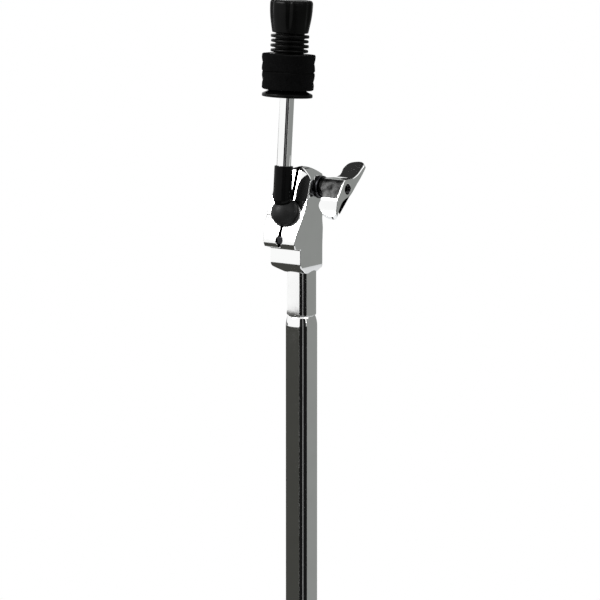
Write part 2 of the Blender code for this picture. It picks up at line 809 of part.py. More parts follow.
def rubber_foot(name, hung, root):
    """A rubber boot on the ends of both straps, flat where it stands."""
    angles = [math.pi / 2 * i / 6 for i in range(7)]
    dome = [(FOOT_RADIUS * math.sin(a), FOOT_RADIUS * math.cos(a)) for a in angles]
    profile = dome + [(FOOT_RADIUS - MM, -FOOT_LENGTH), (0, -FOOT_LENGTH)]
    foot = turned(name, profile, "rubber", hung, (LEG_LENGTH, 0, 0), ALONG_X, steps=24)
    low = (LEG_LENGTH - FOOT_LENGTH - MM, -STRAP_HALF_WIDTH - FIT, -LEG_OUTSIDE - FIT)
    high = (LEG_LENGTH + FIT, STRAP_HALF_WIDTH + FIT, LEG_OUTSIDE + FIT)
    cut(foot, block(name + "_pocket", low, high, "rubber", hung))
    reach = 2 * LEG_LENGTH
    cut(foot, block(name + "_floor", (-reach, -reach, -2 * FOOT_RADIUS), (reach, reach, 0), "rubber", root))


def brace(number, out, side, root):
    """A flat bar from the hub's fork to the leg. Its outer pin stops short of the straps."""
    rise = brace_angle(LEG_ANGLE_OPEN)
    along = out * math.cos(rise) + Vector((0, 0, math.sin(rise)))
    pivot = out * PIVOT_RADIUS + Vector((0, 0, HUB_PIVOT_HEIGHT))
    hinge = frame_at(f"brace_{number}_pivot", root, pivot, axes_from(along, side))
    outline = strap_outline(BRACE_LENGTH + BRACE_HALF_WIDTH, BRACE_HALF_WIDTH)
    holes = [circle((0, 0), PIN_RADIUS + FIT), circle((BRACE_LENGTH, 0), PIN_RADIUS + FIT)]
    plate(f"brace_{number}", [outline, *holes], BRACE_THICKNESS, "chrome", hinge)
    half = LUG_THICKNESS / 2
    cylinder(f"brace_{number}_hub_pin", PIN_RADIUS, -half, half, "steel", hinge, steps=12)
    outer = STRAP_GAP / 2 - FIT
    cylinder(
        f"brace_{number}_leg_pin",
        PIN_RADIUS,
        -outer,
        outer,
        "steel",
        hinge,
        (BRACE_LENGTH, 0, 0),
        steps=12,
    )


# Ball tilter


def jaw_side_outline():
    """Side view of both jaws and the block under them: (forward, height above the ball's centre)."""
    lobe = arc((0, CLAMP_BOLT_ABOVE_BALL), JAW_LOBE_RADIUS, 78, 195, 10)
    foot = -LOWER_FOOT_BELOW_BALL
    ledge = -SLIT_FOOT_BELOW_BALL - LEDGE_GAP
    back = [
        (-BACK_WAIST, -BACK_WAIST_BELOW_BALL),
        (-LOWER_HALF_WIDTH, -LOWER_TOP_BELOW_BALL),
        (-LOWER_HALF_WIDTH, foot + LOWER_CORNER),
        (-LOWER_FOOT_HALF_WIDTH, foot),
    ]
    under = [
        (LOWER_FOOT_HALF_WIDTH, foot),
        (LOWER_FORWARD, foot + 1.25 * LOWER_CORNER),
        (LOWER_FORWARD, ledge),
    ]
    toe = [(TOE_FORWARD - TOE_CORNER, ledge), (TOE_FORWARD, -TOE_BELOW_BALL)]
    top = (FRONT_TOP_FORWARD, FRONT_TOP_ABOVE_BALL)
    middle = (FRONT_MIDDLE_FORWARD, FRONT_MIDDLE_ABOVE_BALL)
    front = [
        (FRONT_KNEE_FORWARD + 1.2 * TOE_CORNER, -FRONT_KNEE_BELOW_BALL - LOWER_CORNER),
        (FRONT_KNEE_FORWARD, -FRONT_KNEE_BELOW_BALL),
        middle,
        (0.24 * middle[0] + 0.76 * top[0], 0.39 * middle[1] + 0.61 * top[1]),
        top,
    ]
    return lobe + back + under + toe + front


def jaw_front_outline():
    """Front view of both jaws: (sideways, height above the ball's centre)."""
    top = CLAMP_BOLT_ABOVE_BALL + JAW_LOBE_RADIUS
    foot = -LOWER_FOOT_BELOW_BALL
    shoulder = top - SHOULDER_BELOW_TOP
    side = [
        (NECK_RADIUS - JAW_BULGE, foot),
        (LOWER_HALF_WIDTH, foot + LOWER_CORNER),
        (LOWER_HALF_WIDTH, -LOWER_TOP_BELOW_BALL),
        (JAW_HALF_WIDTH - JAW_BULGE, -FRONT_KNEE_BELOW_BALL),
        (JAW_HALF_WIDTH + JAW_BULGE, FRONT_MIDDLE_ABOVE_BALL),
        (JAW_HALF_WIDTH, CLAMP_BOLT_ABOVE_BALL - LOWER_CORNER / 2),
        (JAW_HALF_WIDTH, shoulder),
    ]
    crown = [
        (JAW_HALF_WIDTH * 0.95, shoulder + SHOULDER_BELOW_TOP * 0.28),
        (JAW_HALF_WIDTH * 0.71, shoulder + SHOULDER_BELOW_TOP * 0.49),
        (JAW_HALF_WIDTH * 0.49, shoulder + SHOULDER_BELOW_TOP * 0.63),
        (JAW_HALF_WIDTH * 0.26, shoulder + SHOULDER_BELOW_TOP * 0.88),
        (0, top),
    ]
    right = side + crown
    return right + [(-x, z) for x, z in reversed(right[:-1])]


def casting(name, tilter):
    """The whole clamp before it is parted: jaws, block, neck and plug, with every hollow cut."""
    width = 4 * JAW_HALF_WIDTH
    solid = plate(name, [jaw_side_outline()], width, "chrome", tilter, axes=SIDE_VIEW)
    front = plate(name + "_front", [jaw_front_outline()], width * 2, "chrome", tilter, axes=FRONT_VIEW)
    cut(solid, front, "INTERSECT")
    far = 2 * BALL_HEIGHT
    turned_half = Matrix.Rotation(math.radians(45), 3, "Z")
    corner = JAW_CORNER_REACH
    back = block(
        name + "_back",
        (-far, -far, -far),
        (corner, corner, far),
        "chrome",
        tilter,
        axes=turned_half,
    )
    cut(solid, back, "INTERSECT")
    boss_face = JAW_HALF_WIDTH + BOSS_PROUD
    bolt_at = (0, 0, CLAMP_BOLT_ABOVE_BALL)
    boss = cylinder(
        name + "_boss", BOSS_RADIUS, -boss_face, boss_face, "chrome", tilter, bolt_at, ALONG_X, 24
    )
    cut(solid, boss, "UNION")
    neck_foot = -BALL_HEIGHT
    neck_top = 0.8 * LOWER_CORNER - LOWER_FOOT_BELOW_BALL
    plug_r = TOP_R - TUBE_WALL - FIT
    waist = TOP_R - CRIMP_DROP - TUBE_WALL - FIT
    neck = [
        (0, neck_top),
        (NECK_RADIUS, neck_top),
        (NECK_RADIUS, neck_foot + FIT),
        (waist, neck_foot + FIT),
        (waist, neck_foot - 2 * CRIMP_HEIGHT / 3),
        (plug_r - 2 * FIT, neck_foot - 2 * CRIMP_HEIGHT),
        (plug_r, neck_foot - 2 * CRIMP_HEIGHT - MM),
        (plug_r, neck_foot - PLUG_LENGTH),
        (0, neck_foot - PLUG_LENGTH),
    ]
    cut(solid, turned(name + "_neck", neck, "chrome", tilter), "UNION")
    ball_at = (0, -BALL_FORWARD, 0)
    cut(solid, ball(name + "_pocket", BALL_RADIUS + FIT, "chrome", tilter, ball_at, steps=32))
    throat = cylinder(
        name + "_throat", BALL_RADIUS + FIT, 0, THROAT_HEIGHT, "chrome", tilter, ball_at, steps=32
    )
    cut(solid, throat)
    lean_back = Matrix.Rotation(-WALL_LEAN, 3, "X")
    wall_forward = WALL_FORWARD + WALL_RADIUS * math.cos(WALL_LEAN)
    wall_at = (0, -wall_forward, WALL_ABOVE_BALL + WALL_RADIUS * math.sin(WALL_LEAN))
    wall = cylinder(name + "_wall", WALL_RADIUS, -WALL_DEPTH, far, "chrome", tilter, wall_at, lean_back, 48)
    cut(solid, wall)
    loose = BOLT_RADIUS + SCREW_PLAY
    bolt_hole = cylinder(name + "_bolt_hole", loose, -width, width, "chrome", tilter, bolt_at, ALONG_X, 20)
    cut(solid, bolt_hole)
    pin_at = (0, 0, -JAW_PIN_BELOW_BALL)
    groove_r = JAW_PIN_RADIUS + FIT
    groove = cylinder(name + "_groove", groove_r, -width, width, "chrome", tilter, pin_at, ALONG_Y, 20)
    cut(solid, groove)
    return solid


def tilter_clamp(tilter):
    """The casting parted at the slit: the fixed half keeps the neck, the other is the moving jaw."""
    half = SLIT_WIDTH / 2
    far = 2 * BALL_HEIGHT
    ledge = -SLIT_FOOT_BELOW_BALL
    fixed = casting("tilter_body", tilter)
    cut(fixed, block("jaw_space", (-far, -far, ledge - LEDGE_GAP), (half, far, far), "chrome", tilter))
    moving = casting("tilter_jaw", tilter)
    cut(moving, block("jaw_room", (-far, -far, ledge), (-half, far, far), "chrome", tilter), "INTERSECT")
    nut_face = JAW_HALF_WIDTH + BOSS_PROUD
    bolt_at = (0, 0, CLAMP_BOLT_ABOVE_BALL)
    pocket = [hexagon(JAW_NUT_ACROSS_FLATS + 2 * FIT)]
    depth = NUT_THICKNESS + FIT
    pocket_at = (depth / 2 - nut_face - MM, 0, CLAMP_BOLT_ABOVE_BALL)
    cut(moving, plate("nut_pocket", pocket, depth + 2 * MM, "chrome", tilter, pocket_at, ALONG_X))
    nut_at = (NUT_THICKNESS - nut_face, 0, CLAMP_BOLT_ABOVE_BALL)
    nut("clamp_nut", JAW_NUT_ACROSS_FLATS, BOLT_RADIUS + SCREW_PLAY, tilter, nut_at, ALONG_X)
    pin_back = LOWER_HALF_WIDTH * 0.6
    pin_at = (0, 0, -JAW_PIN_BELOW_BALL)
    cylinder(
        "jaw_pin",
        JAW_PIN_RADIUS,
        TOE_CORNER - TOE_FORWARD,
        pin_back,
        "steel",
        tilter,
        pin_at,
        ALONG_Y,
        20,
    )
    washer_foot = nut_face + FIT
    washer = tube_profile(WASHER_RADIUS, BOLT_RADIUS + FIT, washer_foot, washer_foot + WASHER_THICKNESS)
    turned("clamp_washer", washer, "steel", tilter, bolt_at, ALONG_X, ring=True)
    screw_end = washer_foot + WASHER_THICKNESS + FIT + WING_NUT_LENGTH - SCREW_RECESS
    screw = cylinder(
        "clamp_screw", BOLT_RADIUS, -nut_face, screw_end, "steel", tilter, bolt_at, ALONG_X, 20
    )
    socket_at = (screw_end - SOCKET_DEPTH / 2, 0, CLAMP_BOLT_ABOVE_BALL)
    socket = [hexagon(SOCKET_ACROSS_FLATS)]
    cut(screw, plate("screw_socket", socket, 2 * SOCKET_DEPTH, "steel", tilter, socket_at, ALONG_X))
    wing_nut(tilter, washer_foot + WASHER_THICKNESS + FIT)


def wing_nut_outline():
    """One blade pair in side view: (across the hub, along the screw from the nut's foot)."""
    span = WING_NUT_HALF_SPAN
    top = WING_NUT_LENGTH
    low_centre = (span - BLADE_LOW_CORNER, BLADE_FOOT_HEIGHT + BLADE_LOW_CORNER)
    low = arc(low_centre, BLADE_LOW_CORNER, -60, 0, 4)
    high = arc((span - BLADE_HIGH_CORNER, top - BLADE_HIGH_CORNER), BLADE_HIGH_CORNER, 0, 90, 4)
    blade = [
        (WING_NUT_FOOT_RADIUS, BLADE_FOOT_HEIGHT * 0.55),
        (WING_NUT_FOOT_RADIUS * 1.45, BLADE_FOOT_HEIGHT * 0.88),
        (BLADE_FOOT_SPAN, BLADE_FOOT_HEIGHT),
        *low,
        *high,
    ]
    return blade + [(-x, z) for x, z in reversed(blade)]


def wing_nut(tilter, foot):
    """The winged nut that clamps the ball, with its blades turned from upright."""
    at = (foot, 0, CLAMP_BOLT_ABOVE_BALL)
    hub_radii = (WING_NUT_FOOT_RADIUS, WING_NUT_HEAD_RADIUS)
    hub = tapered("wing_nut", *hub_radii, 0, WING_NUT_LENGTH, "chrome", tilter, at, ALONG_X)
    across = (0, math.sin(WING_NUT_TURN), math.cos(WING_NUT_TURN))
    blades_axes = axes_from(across, Vector(across).cross(Vector((1, 0, 0))))
    blades = plate(
        "wing_nut_blades", [wing_nut_outline()], WING_NUT_BLADE, "chrome", tilter, at, blades_axes
    )
    cut(hub, blades, "UNION")
    bore_r = BOLT_RADIUS + FIT
    bore = cylinder("wing_nut_bore", bore_r, -MM, 2 * WING_NUT_LENGTH, "chrome", tilter, at, ALONG_X, 20)
    cut(hub, bore)


# Rod and what it carries


def holder_profile(extra, bore):
    """The sleeve's outline, grown by extra, with a blind bore from its top if asked."""
    radius = HOLDER_RADIUS + extra
    foot = HOLDER_FOOT - extra
    rounding = HOLDER_ROUNDING + extra
    corner = [
        (radius - rounding + rounding * math.cos(a), foot + rounding - rounding * math.sin(a))
        for a in [math.pi / 2 * i / 5 for i in range(6)]
    ]
    top = [(radius, HOLDER_TOP + extra)]
    if bore:
        floor = ROD_FOOT - FIT
        top = [(0, floor), (ROD_RADIUS + FIT, floor), (ROD_RADIUS + FIT, HOLDER_TOP), (radius, HOLDER_TOP)]
    else:
        top.insert(0, (0, HOLDER_TOP + extra))
    return top + corner + [(0, foot)]


def rod_group(tilter):
    """Ball, sleeve, rod, seat, felts and nut on one axis that leans back from upright."""
    lean = Matrix.Rotation(-ROD_LEAN_BACK, 3, "X")
    pivot = frame_at("rod_pivot", tilter, (0, -BALL_FORWARD, 0), lean)
    on_rod = frame_at("rod_axis", pivot, (0, -ROD_OFFSET, 0))
    tilter_ball = ball("tilter_ball", BALL_RADIUS, "ball_nylon", pivot)
    cut(tilter_ball, turned("holder_pocket", holder_profile(FIT, False), "ball_nylon", on_rod))
    turned("rod_holder", holder_profile(0.0, True), "black_nylon", on_rod)
    thread_end = thread_top()
    rod = [
        (0, thread_end),
        (THREAD_RADIUS - MM / 2, thread_end),
        (THREAD_RADIUS, thread_end - MM),
        (THREAD_RADIUS, SEAT_AT),
        (ROD_RADIUS, SEAT_AT),
        (ROD_RADIUS, ROD_FOOT),
        (0, ROD_FOOT),
    ]
    turned("cymbal_rod", rod, "chrome", on_rod)
    seat_and_felts(on_rod)
    cymbal_nut(on_rod)


def felt_foot(number):
    """Height of the underside of a felt, counted from the lower one."""
    return SEAT_AT + FIT + SEAT_HEIGHT + FIT + number * (FELT_THICKNESS + FIT)


def thread_top():
    return felt_foot(2) + RIB_COUNT * RIB_PITCH + HEAD_HEIGHT * 0.6


def seat_and_felts(on_rod):
    bore = THREAD_RADIUS + FIT
    foot = SEAT_AT + FIT
    rim = [
        (SEAT_TOP_RADIUS, foot + SEAT_HEIGHT),
        (RIM_RADIUS, foot + RIM_THICKNESS),
        (RIM_RADIUS, foot),
        (bore, foot),
        (bore, foot + SEAT_HEIGHT),
    ]
    turned("seat_washer", rim, "black_plastic", on_rod, ring=True)
    sleeve_top = felt_foot(2) - 2 * MM
    sleeve = tube_profile(SLEEVE_RADIUS, bore, felt_foot(0), sleeve_top)
    turned("seat_sleeve", sleeve, "black_nylon", on_rod, ring=True, steps=20)
    for number, name in enumerate(("lower_felt", "upper_felt")):
        low = felt_foot(number)
        high = low + FELT_THICKNESS
        felt = [
            (FELT_RADIUS - FELT_ROUNDING, high),
            (FELT_RADIUS, high - FELT_ROUNDING),
            (FELT_RADIUS, low + FELT_ROUNDING),
            (FELT_RADIUS - FELT_ROUNDING, low),
            (SLEEVE_RADIUS + FIT, low),
            (SLEEVE_RADIUS + FIT, high),
        ]
        turned(name, felt, "felt", on_rod, ring=True)


def nut_profile(foot):
    """The moulded nut's outer side: flared head with rounded corners over evenly pitched ribs."""
    neck_top = foot + RIB_COUNT * RIB_PITCH
    top = neck_top + HEAD_HEIGHT
    corner = [
        (HEAD_TOP_RADIUS - HEAD_CORNER * (1 - math.sin(a)), top - HEAD_CORNER * (1 - math.cos(a)))
        for a in [math.pi / 2 * i / 3 for i in range(4)]
    ]
    head = [*corner, (HEAD_TOP_RADIUS - 0.2 * MM, top - HEAD_HEIGHT * 0.42), (HEAD_FOOT_RADIUS, neck_top)]
    ribs = []
    for number in range(RIB_COUNT):
        high = neck_top - number * RIB_PITCH
        ribs.append((RIB_CORE_RADIUS, high))
        ribs.append((RIB_CORE_RADIUS, high - RIB_PITCH * 0.3))
        ribs.append((RIB_RADIUS, high - RIB_PITCH * 0.42))
        ribs.append((RIB_RADIUS, high - RIB_PITCH * 0.88))
    return head + ribs + [(RIB_RADIUS - MM, foot)]


def cymbal_nut(on_rod):
    foot = felt_foot(2)
    insert_top = foot + 3 * MM + INSERT_LENGTH
    bore_floor = max(insert_top, thread_top()) + MM
    outer = nut_profile(foot)
    bore = [
        (THREAD_RADIUS + 2 * FIT, foot),
        (THREAD_RADIUS + 2 * FIT, foot + 3 * MM),
        (INSERT_RADIUS + FIT, foot + 3 * MM),
        (INSERT_RADIUS + FIT, insert_top + FIT),
        (THREAD_RADIUS + 2 * FIT, insert_top + FIT),
        (THREAD_RADIUS + 2 * FIT, bore_floor),
        (0, bore_floor),
    ]
    top = outer[0][1]
    shell = turned("cymbal_nut", [(0, top), *outer, *bore], "black_plastic", on_rod, steps=FINE_STEPS)
    neck_top = foot + RIB_COUNT * RIB_PITCH
    for number in range(HEAD_GROOVES):
        angle = 2 * math.pi * (number + 0.5) / HEAD_GROOVES
        slope = math.atan2(HEAD_TOP_RADIUS - HEAD_FOOT_RADIUS, HEAD_HEIGHT)
        axes = Matrix.Rotation(angle, 3, "Z") @ Matrix.Rotation(slope, 3, "Y")
        at = Matrix.Rotation(angle, 3, "Z") @ Vector((HEAD_FOOT_RADIUS + 0.7 * GROOVE_RADIUS, 0, neck_top))
        groove = cylinder(
            f"head_groove_{number + 1}",
            GROOVE_RADIUS,
            RIB_PITCH,
            2 * HEAD_HEIGHT,
            "black_plastic",
            on_rod,
            at,
            axes,
            10,
        )
        cut(shell, groove)
    insert = tube_profile(INSERT_RADIUS, THREAD_RADIUS + FIT, foot + 3 * MM + FIT, insert_top)
    turned("nut_insert", insert, "brass", on_rod, ring=True, steps=20)


# The whole stand


def stand_on_origin(root):
    """Moves the stand so that the middle of its bounding box's underside is the origin."""
    bpy.context.view_layer.update()
    corners = []
    for part in bpy.data.collections[PART].objects:
        if part.type == "MESH":
            corners += [part.matrix_world @ vertex.co for vertex in part.data.vertices]
    for axis in (0, 1):
        values = [corner[axis] for corner in corners]
        root.location[axis] -= (min(values) + max(values)) / 2


def build():
    clear_scene()
    root = frame_at("stand_axis", None, (0, 0, 0))
    tubes(root)
    base_lock_foot = height_clamp("base", BASE_R, MIDDLE_R, BASE_TOP, root)
    memory_lock("base", MIDDLE_R, base_lock_foot, root)
    middle_lock_foot = height_clamp("middle", MIDDLE_R, TOP_R, MIDDLE_TOP, root)
    memory_lock("middle", TOP_R, middle_lock_foot, root)
    brace_hub(root)
    leg_collar(root)
    for number, degrees in enumerate(LEG_HEADINGS, 1):
        leg(number, degrees, root)
    tilter = frame_at("tilter", root, (0, 0, TOP_TOP + BALL_HEIGHT))
    tilter_clamp(tilter)
    rod_group(tilter)
    settle()
    stand_on_origin(root)


build()
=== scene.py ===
# %% [markdown]
# # A cymbal stand with a ball tilter
# The solids of the stand come first, as a fixed frame. Each has its place and its body, and the
# pieces made below are finer skins over them: round where the solids have flats, worn, fibrous
# or grained where the real surface is. Every length is in metres, so a millimetre has a name.

# %% Load the frame
import json
import math

import bmesh
import bpy
import numpy as np
from mathutils import Matrix, Vector


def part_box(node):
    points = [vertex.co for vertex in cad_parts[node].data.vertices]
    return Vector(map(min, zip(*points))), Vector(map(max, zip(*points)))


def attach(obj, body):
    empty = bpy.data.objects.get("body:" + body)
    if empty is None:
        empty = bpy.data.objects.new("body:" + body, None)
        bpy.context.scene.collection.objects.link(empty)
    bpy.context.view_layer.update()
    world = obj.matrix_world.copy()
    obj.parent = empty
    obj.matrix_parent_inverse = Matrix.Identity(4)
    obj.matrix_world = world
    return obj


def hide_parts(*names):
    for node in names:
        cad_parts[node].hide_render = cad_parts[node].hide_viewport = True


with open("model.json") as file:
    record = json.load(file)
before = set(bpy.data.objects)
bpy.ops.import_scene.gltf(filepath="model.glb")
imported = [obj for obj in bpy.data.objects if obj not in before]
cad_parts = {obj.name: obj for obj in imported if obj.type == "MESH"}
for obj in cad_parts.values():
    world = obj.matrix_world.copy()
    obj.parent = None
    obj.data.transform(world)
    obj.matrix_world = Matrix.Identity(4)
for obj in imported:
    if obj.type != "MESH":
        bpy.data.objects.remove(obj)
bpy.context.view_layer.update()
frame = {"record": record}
scene = bpy.context.scene
MM = 0.001
BODY_OF = {node: body for body, nodes in frame["record"]["behaviour"]["bodies"].items() for node in nodes}

# %% [markdown]
# The tubes share one upright axis, and most heights follow from the boxes of a few solids. The
# ball and the rod sit in front of that axis, towards -Y. The rod leans back a little.

# %% Where things are
def middle(node):
    """Centre of a solid's box."""
    low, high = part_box(node)
    return (low + high) / 2


AXIS = Vector((middle("top_tube").x, middle("top_tube").y, 0))
TUBE_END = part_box("top_tube")[1].z
BALL_LEVEL = TUBE_END + 64.7 * MM
BALL_AT = AXIS + Vector((0, -17.4 * MM, BALL_LEVEL))
CLAMP_AT = AXIS + Vector((0, 0, BALL_LEVEL))
BOLT_AT = CLAMP_AT + Vector((0, 0, 15 * MM))
ROD_LEAN = math.radians(4.8)
ROD_UP = Vector((0, math.sin(ROD_LEAN), math.cos(ROD_LEAN)))
ROD_AT = BALL_AT + 3.5 * MM * Vector((0, -math.cos(ROD_LEAN), math.sin(ROD_LEAN)))
print("tube axis", AXIS[:], "tube end", TUBE_END, "ball", BALL_AT[:])

# %% [markdown]
# The camera looks down on the tilter from the right of the stand's front, through a long lens,
# so that upright edges stay nearly parallel. It stands on a sphere round a point just above the
# end of the top tube.

# %% Camera
VIEW_AZIMUTH = math.radians(35)
VIEW_PITCH = math.radians(9.5)
CAMERA_FAR = 4.0
towards = Vector((
    math.sin(VIEW_AZIMUTH) * math.cos(VIEW_PITCH),
    -math.cos(VIEW_AZIMUTH) * math.cos(VIEW_PITCH),
    math.sin(VIEW_PITCH),
))
rightwards = Vector((math.cos(VIEW_AZIMUTH), math.sin(VIEW_AZIMUTH), 0))
lens = bpy.data.cameras.new("camera")
lens.lens = 99 * CAMERA_FAR
lens.sensor_width = 36
camera = bpy.data.objects.new("camera", lens)
scene.collection.objects.link(camera)
aim = AXIS + Vector((0, 0, TUBE_END + 8.9 * MM))
camera.matrix_world = (
    Matrix.Translation(aim + CAMERA_FAR * towards - 0.9 * MM * rightwards)
    @ Matrix((rightwards, towards.cross(rightwards), towards)).transposed().to_4x4()
)
scene.camera = camera
scene.view_settings.view_transform = "Standard"
print("camera at", camera.matrix_world.translation[:])

# %% [markdown]
# A shader is a sum of small steps. The class below lets those steps be written as Python
# arithmetic: it wraps a socket, and each operator adds one Math node. Every other node comes from
# one method, which sets the node up first and then fills or links its sockets.

# %% Shader arithmetic
class Wire:
    """A socket that takes part in Python arithmetic."""

    def __init__(self, finish, socket):
        self.finish = finish
        self.socket = socket

    def __add__(self, other):
        return self.finish.math("ADD", self, other)

    def __sub__(self, other):
        return self.finish.math("SUBTRACT", self, other)

    def __rsub__(self, other):
        return self.finish.math("SUBTRACT", other, self)

    def __mul__(self, other):
        return self.finish.math("MULTIPLY", self, other)

    def __pow__(self, other):
        return self.finish.math("POWER", self, other)

    def __lt__(self, other):
        return self.finish.math("LESS_THAN", self, other)

    def __gt__(self, other):
        return self.finish.math("GREATER_THAN", self, other)

    __radd__ = __add__
    __rmul__ = __mul__


class Finish:
    """The node tree of one material, or of the world."""

    def __init__(self, owner):
        owner.use_nodes = True
        self.owner = owner
        self.tree = owner.node_tree
        self.tree.nodes.clear()

    def node(self, kind, settings, sockets, output=0):
        made = self.tree.nodes.new(kind)
        for name, value in settings.items():
            if name == "stops":
                self.set_stops(made.color_ramp, value)
            else:
                setattr(made, name, value)
        for name, value in sockets.items():
            if isinstance(value, Wire):
                self.tree.links.new(value.socket, made.inputs[name])
            else:
                made.inputs[name].default_value = value
        return Wire(self, made.outputs[output])

    def set_stops(self, ramp, stops):
        while len(ramp.elements) < len(stops):
            ramp.elements.new(0.5)
        for element, (place, value) in zip(ramp.elements, stops):
            element.position = place
            element.color = (value, value, value, 1)

    def point(self):
        """The point on the piece in metres."""
        return self.node("ShaderNodeTexCoord", {}, {}, "Object")

    def noise(self, size, detail=3.0, rough=0.5, stretch=(1, 1, 1)):
        """Cloudy pattern from 0 to 1 with spots about the size across, stretched to run one way."""
        place = self.node("ShaderNodeMapping", {}, {"Vector": self.point(), "Scale": stretch})
        sockets = {"Vector": place, "Scale": 1 / size, "Detail": detail, "Roughness": rough}
        return self.node("ShaderNodeTexNoise", {}, sockets, "Fac")

    def ramp(self, value, *stops):
        return self.node("ShaderNodeValToRGB", {"stops": stops}, {"Fac": value})

    def blend(self, share, first, second):
        """Colour that goes from the first to the second as the share goes from 0 to 1."""
        ends = [end if isinstance(end, Wire) else (*end, 1) for end in (first, second)]
        return self.node("ShaderNodeMix", {"data_type": "RGBA"}, {0: share, 6: ends[0], 7: ends[1]}, 2)

    def math(self, operation, first, second=0.0):
        return self.node("ShaderNodeMath", {"operation": operation}, {0: first, 1: second})

    def bump(self, height, depth, normal=None):
        """Relief of the given depth in metres from a height of 0 to 1."""
        sockets = {"Height": height, "Distance": depth, "Strength": 1.0}
        if normal:
            sockets["Normal"] = normal
        return self.node("ShaderNodeBump", {}, sockets)

    def out(self, shader, target="ShaderNodeOutputMaterial"):
        end = self.tree.nodes.new(target)
        self.tree.links.new(shader.socket, end.inputs["Surface"])
        return self.owner


def principled(finish, sockets):
    """The finished surface: a Principled shader with these sockets."""
    return finish.out(finish.node("ShaderNodeBsdfPrincipled", {}, sockets))


print("shader arithmetic ready")

# %% [markdown]
# The studio is white all round, as a sweep of white paper is. Chrome has no colour of its own, so
# it only looks like chrome when something dark stands near it. Here that is a set of cards that
# only reflections see: a grey wall on the right, a dark ceiling, two black strips with a thin grey
# line before them on the camera's side, a narrow card at the left and a dark flag round the left
# of the tubes.

# %% World, floor and lamps
world = bpy.data.worlds.new("studio")
scene.world = world
sky = Finish(world)
ray = sky.tree.nodes.new("ShaderNodeLightPath").outputs
seen = Wire(sky, ray["Is Camera Ray"]) + Wire(sky, ray["Is Glossy Ray"])
seen = seen + Wire(sky, ray["Is Transmission Ray"])
soft = sky.node("ShaderNodeBackground", {}, {"Color": (0.95, 0.97, 1.0, 1), "Strength": 0.55})
white = sky.node("ShaderNodeBackground", {}, {"Color": (1, 1, 1, 1), "Strength": 1.0})
sky.out(sky.node("ShaderNodeMixShader", {}, {0: seen, 1: soft, 2: white}), "ShaderNodeOutputWorld")

FLOOR_RADIUS = 2.3
floor_look = Finish(bpy.data.materials.new("pale floor"))
floor_colour = floor_look.blend(floor_look.noise(0.4), (0.84, 0.84, 0.84), (0.86, 0.86, 0.86))
principled(floor_look, {"Base Color": floor_colour, "Roughness": 0.85, "Specular IOR Level": 0.1})
turn = np.linspace(0, 2 * np.pi, 96, endpoint=False)
edge = [AXIS.x + FLOOR_RADIUS * np.cos(turn), AXIS.y + FLOOR_RADIUS * np.sin(turn), 0 * turn]
floor_mesh = bpy.data.meshes.new("floor")
floor_mesh.from_pydata(np.stack(edge, 1).tolist(), [], [list(range(len(turn)))])
floor_mesh.materials.append(floor_look.owner)
floor = bpy.data.objects.new("floor", floor_mesh)
scene.collection.objects.link(floor)
LAMP_AIM = AXIS + Vector((0, 0, 0.9))


def lamp(name, azimuth, elevation, distance, size, watts):
    """Square soft lamp that looks at the upper stand. Azimuth 0 is its front, 90 its right."""
    a = math.radians(azimuth)
    e = math.radians(elevation)
    way = Vector((math.sin(a) * math.cos(e), -math.cos(a) * math.cos(e), math.sin(e)))
    light = bpy.data.lights.new(name, "AREA")
    light.size = size
    light.energy = watts
    thing = bpy.data.objects.new(name, light)
    thing.location = LAMP_AIM + distance * way
    thing.rotation_euler = way.to_track_quat("Z", "Y").to_euler()
    scene.collection.objects.link(thing)


lamp("key lamp", -35, 38, 2.4, 1.3, 62)
lamp("fill lamp", 80, 30, 2.6, 1.6, 22)
print("floor", 2 * FLOOR_RADIUS, "m across and two lamps")

# %% Cards that reflections see
def card(name, value, azimuths, heights, radius, tint=(1, 1, 1)):
    """Upright curved card round the tube axis: x = r sin a, y = -r cos a, between two heights."""
    columns = 40
    turn, z = np.meshgrid(np.radians(np.linspace(*azimuths, columns)), np.linspace(*heights, 2))
    points = np.stack([AXIS.x + radius * np.sin(turn), AXIS.y - radius * np.cos(turn), z], -1)
    first = np.arange(columns - 1)
    quads = np.stack([first, first + 1, first + columns + 1, first + columns], 1)
    mesh = bpy.data.meshes.new(name)
    mesh.from_pydata(points.reshape(-1, 3).tolist(), [], quads.tolist())
    finish_card(name, mesh, value, tint)


def finish_card(name, mesh, value, tint=(1, 1, 1)):
    """Gives a card its even glow and shows it to mirror-like surfaces only."""
    look = Finish(bpy.data.materials.new(name))
    glow = look.node("ShaderNodeEmission", {}, {"Color": (*[value * c for c in tint], 1), "Strength": 1.0})
    mesh.materials.append(look.out(glow))
    thing = bpy.data.objects.new(name, mesh)
    scene.collection.objects.link(thing)
    thing.visible_camera = False
    thing.visible_diffuse = False
    thing.visible_shadow = False
    thing.visible_transmission = False


ceiling = bpy.data.meshes.new("ceiling card")
height = TUBE_END + 1.25
left, right, near, far = -2.0, -0.65, -1.1, 2.2
corners = [(left, near, height), (right, near, height), (right, far, height), (left, far, height)]
ceiling.from_pydata(corners, [], [(0, 1, 2, 3)])
finish_card("ceiling card", ceiling, 0.03)
card("grey wall", 0.27, (72, 215), (-0.6, 3.2), 2.2, (0.97, 1.0, 0.97))
card("black strip low", 0.008, (18, 76), (-0.4, 0.86), 1.25)
card("black strip high", 0.012, (21, 70), (0.86, 1.9), 1.25)
card("thin grey line", 0.3, (43, 48), (-0.4, 1.9), 1.2)
card("left edge card", 0.12, (-145, -84), (0.69, 0.86), 2.0)
FLAG_RADIUS = 0.35
flag_top = TUBE_END - FLAG_RADIUS * math.tan(VIEW_PITCH) + 2 * MM
card("dark flag", 0.055, (-150, 18), (-0.02, flag_top), FLAG_RADIUS, (1.0, 1.0, 0.9))
print("seven cards, flag top at", round(flag_top, 3))

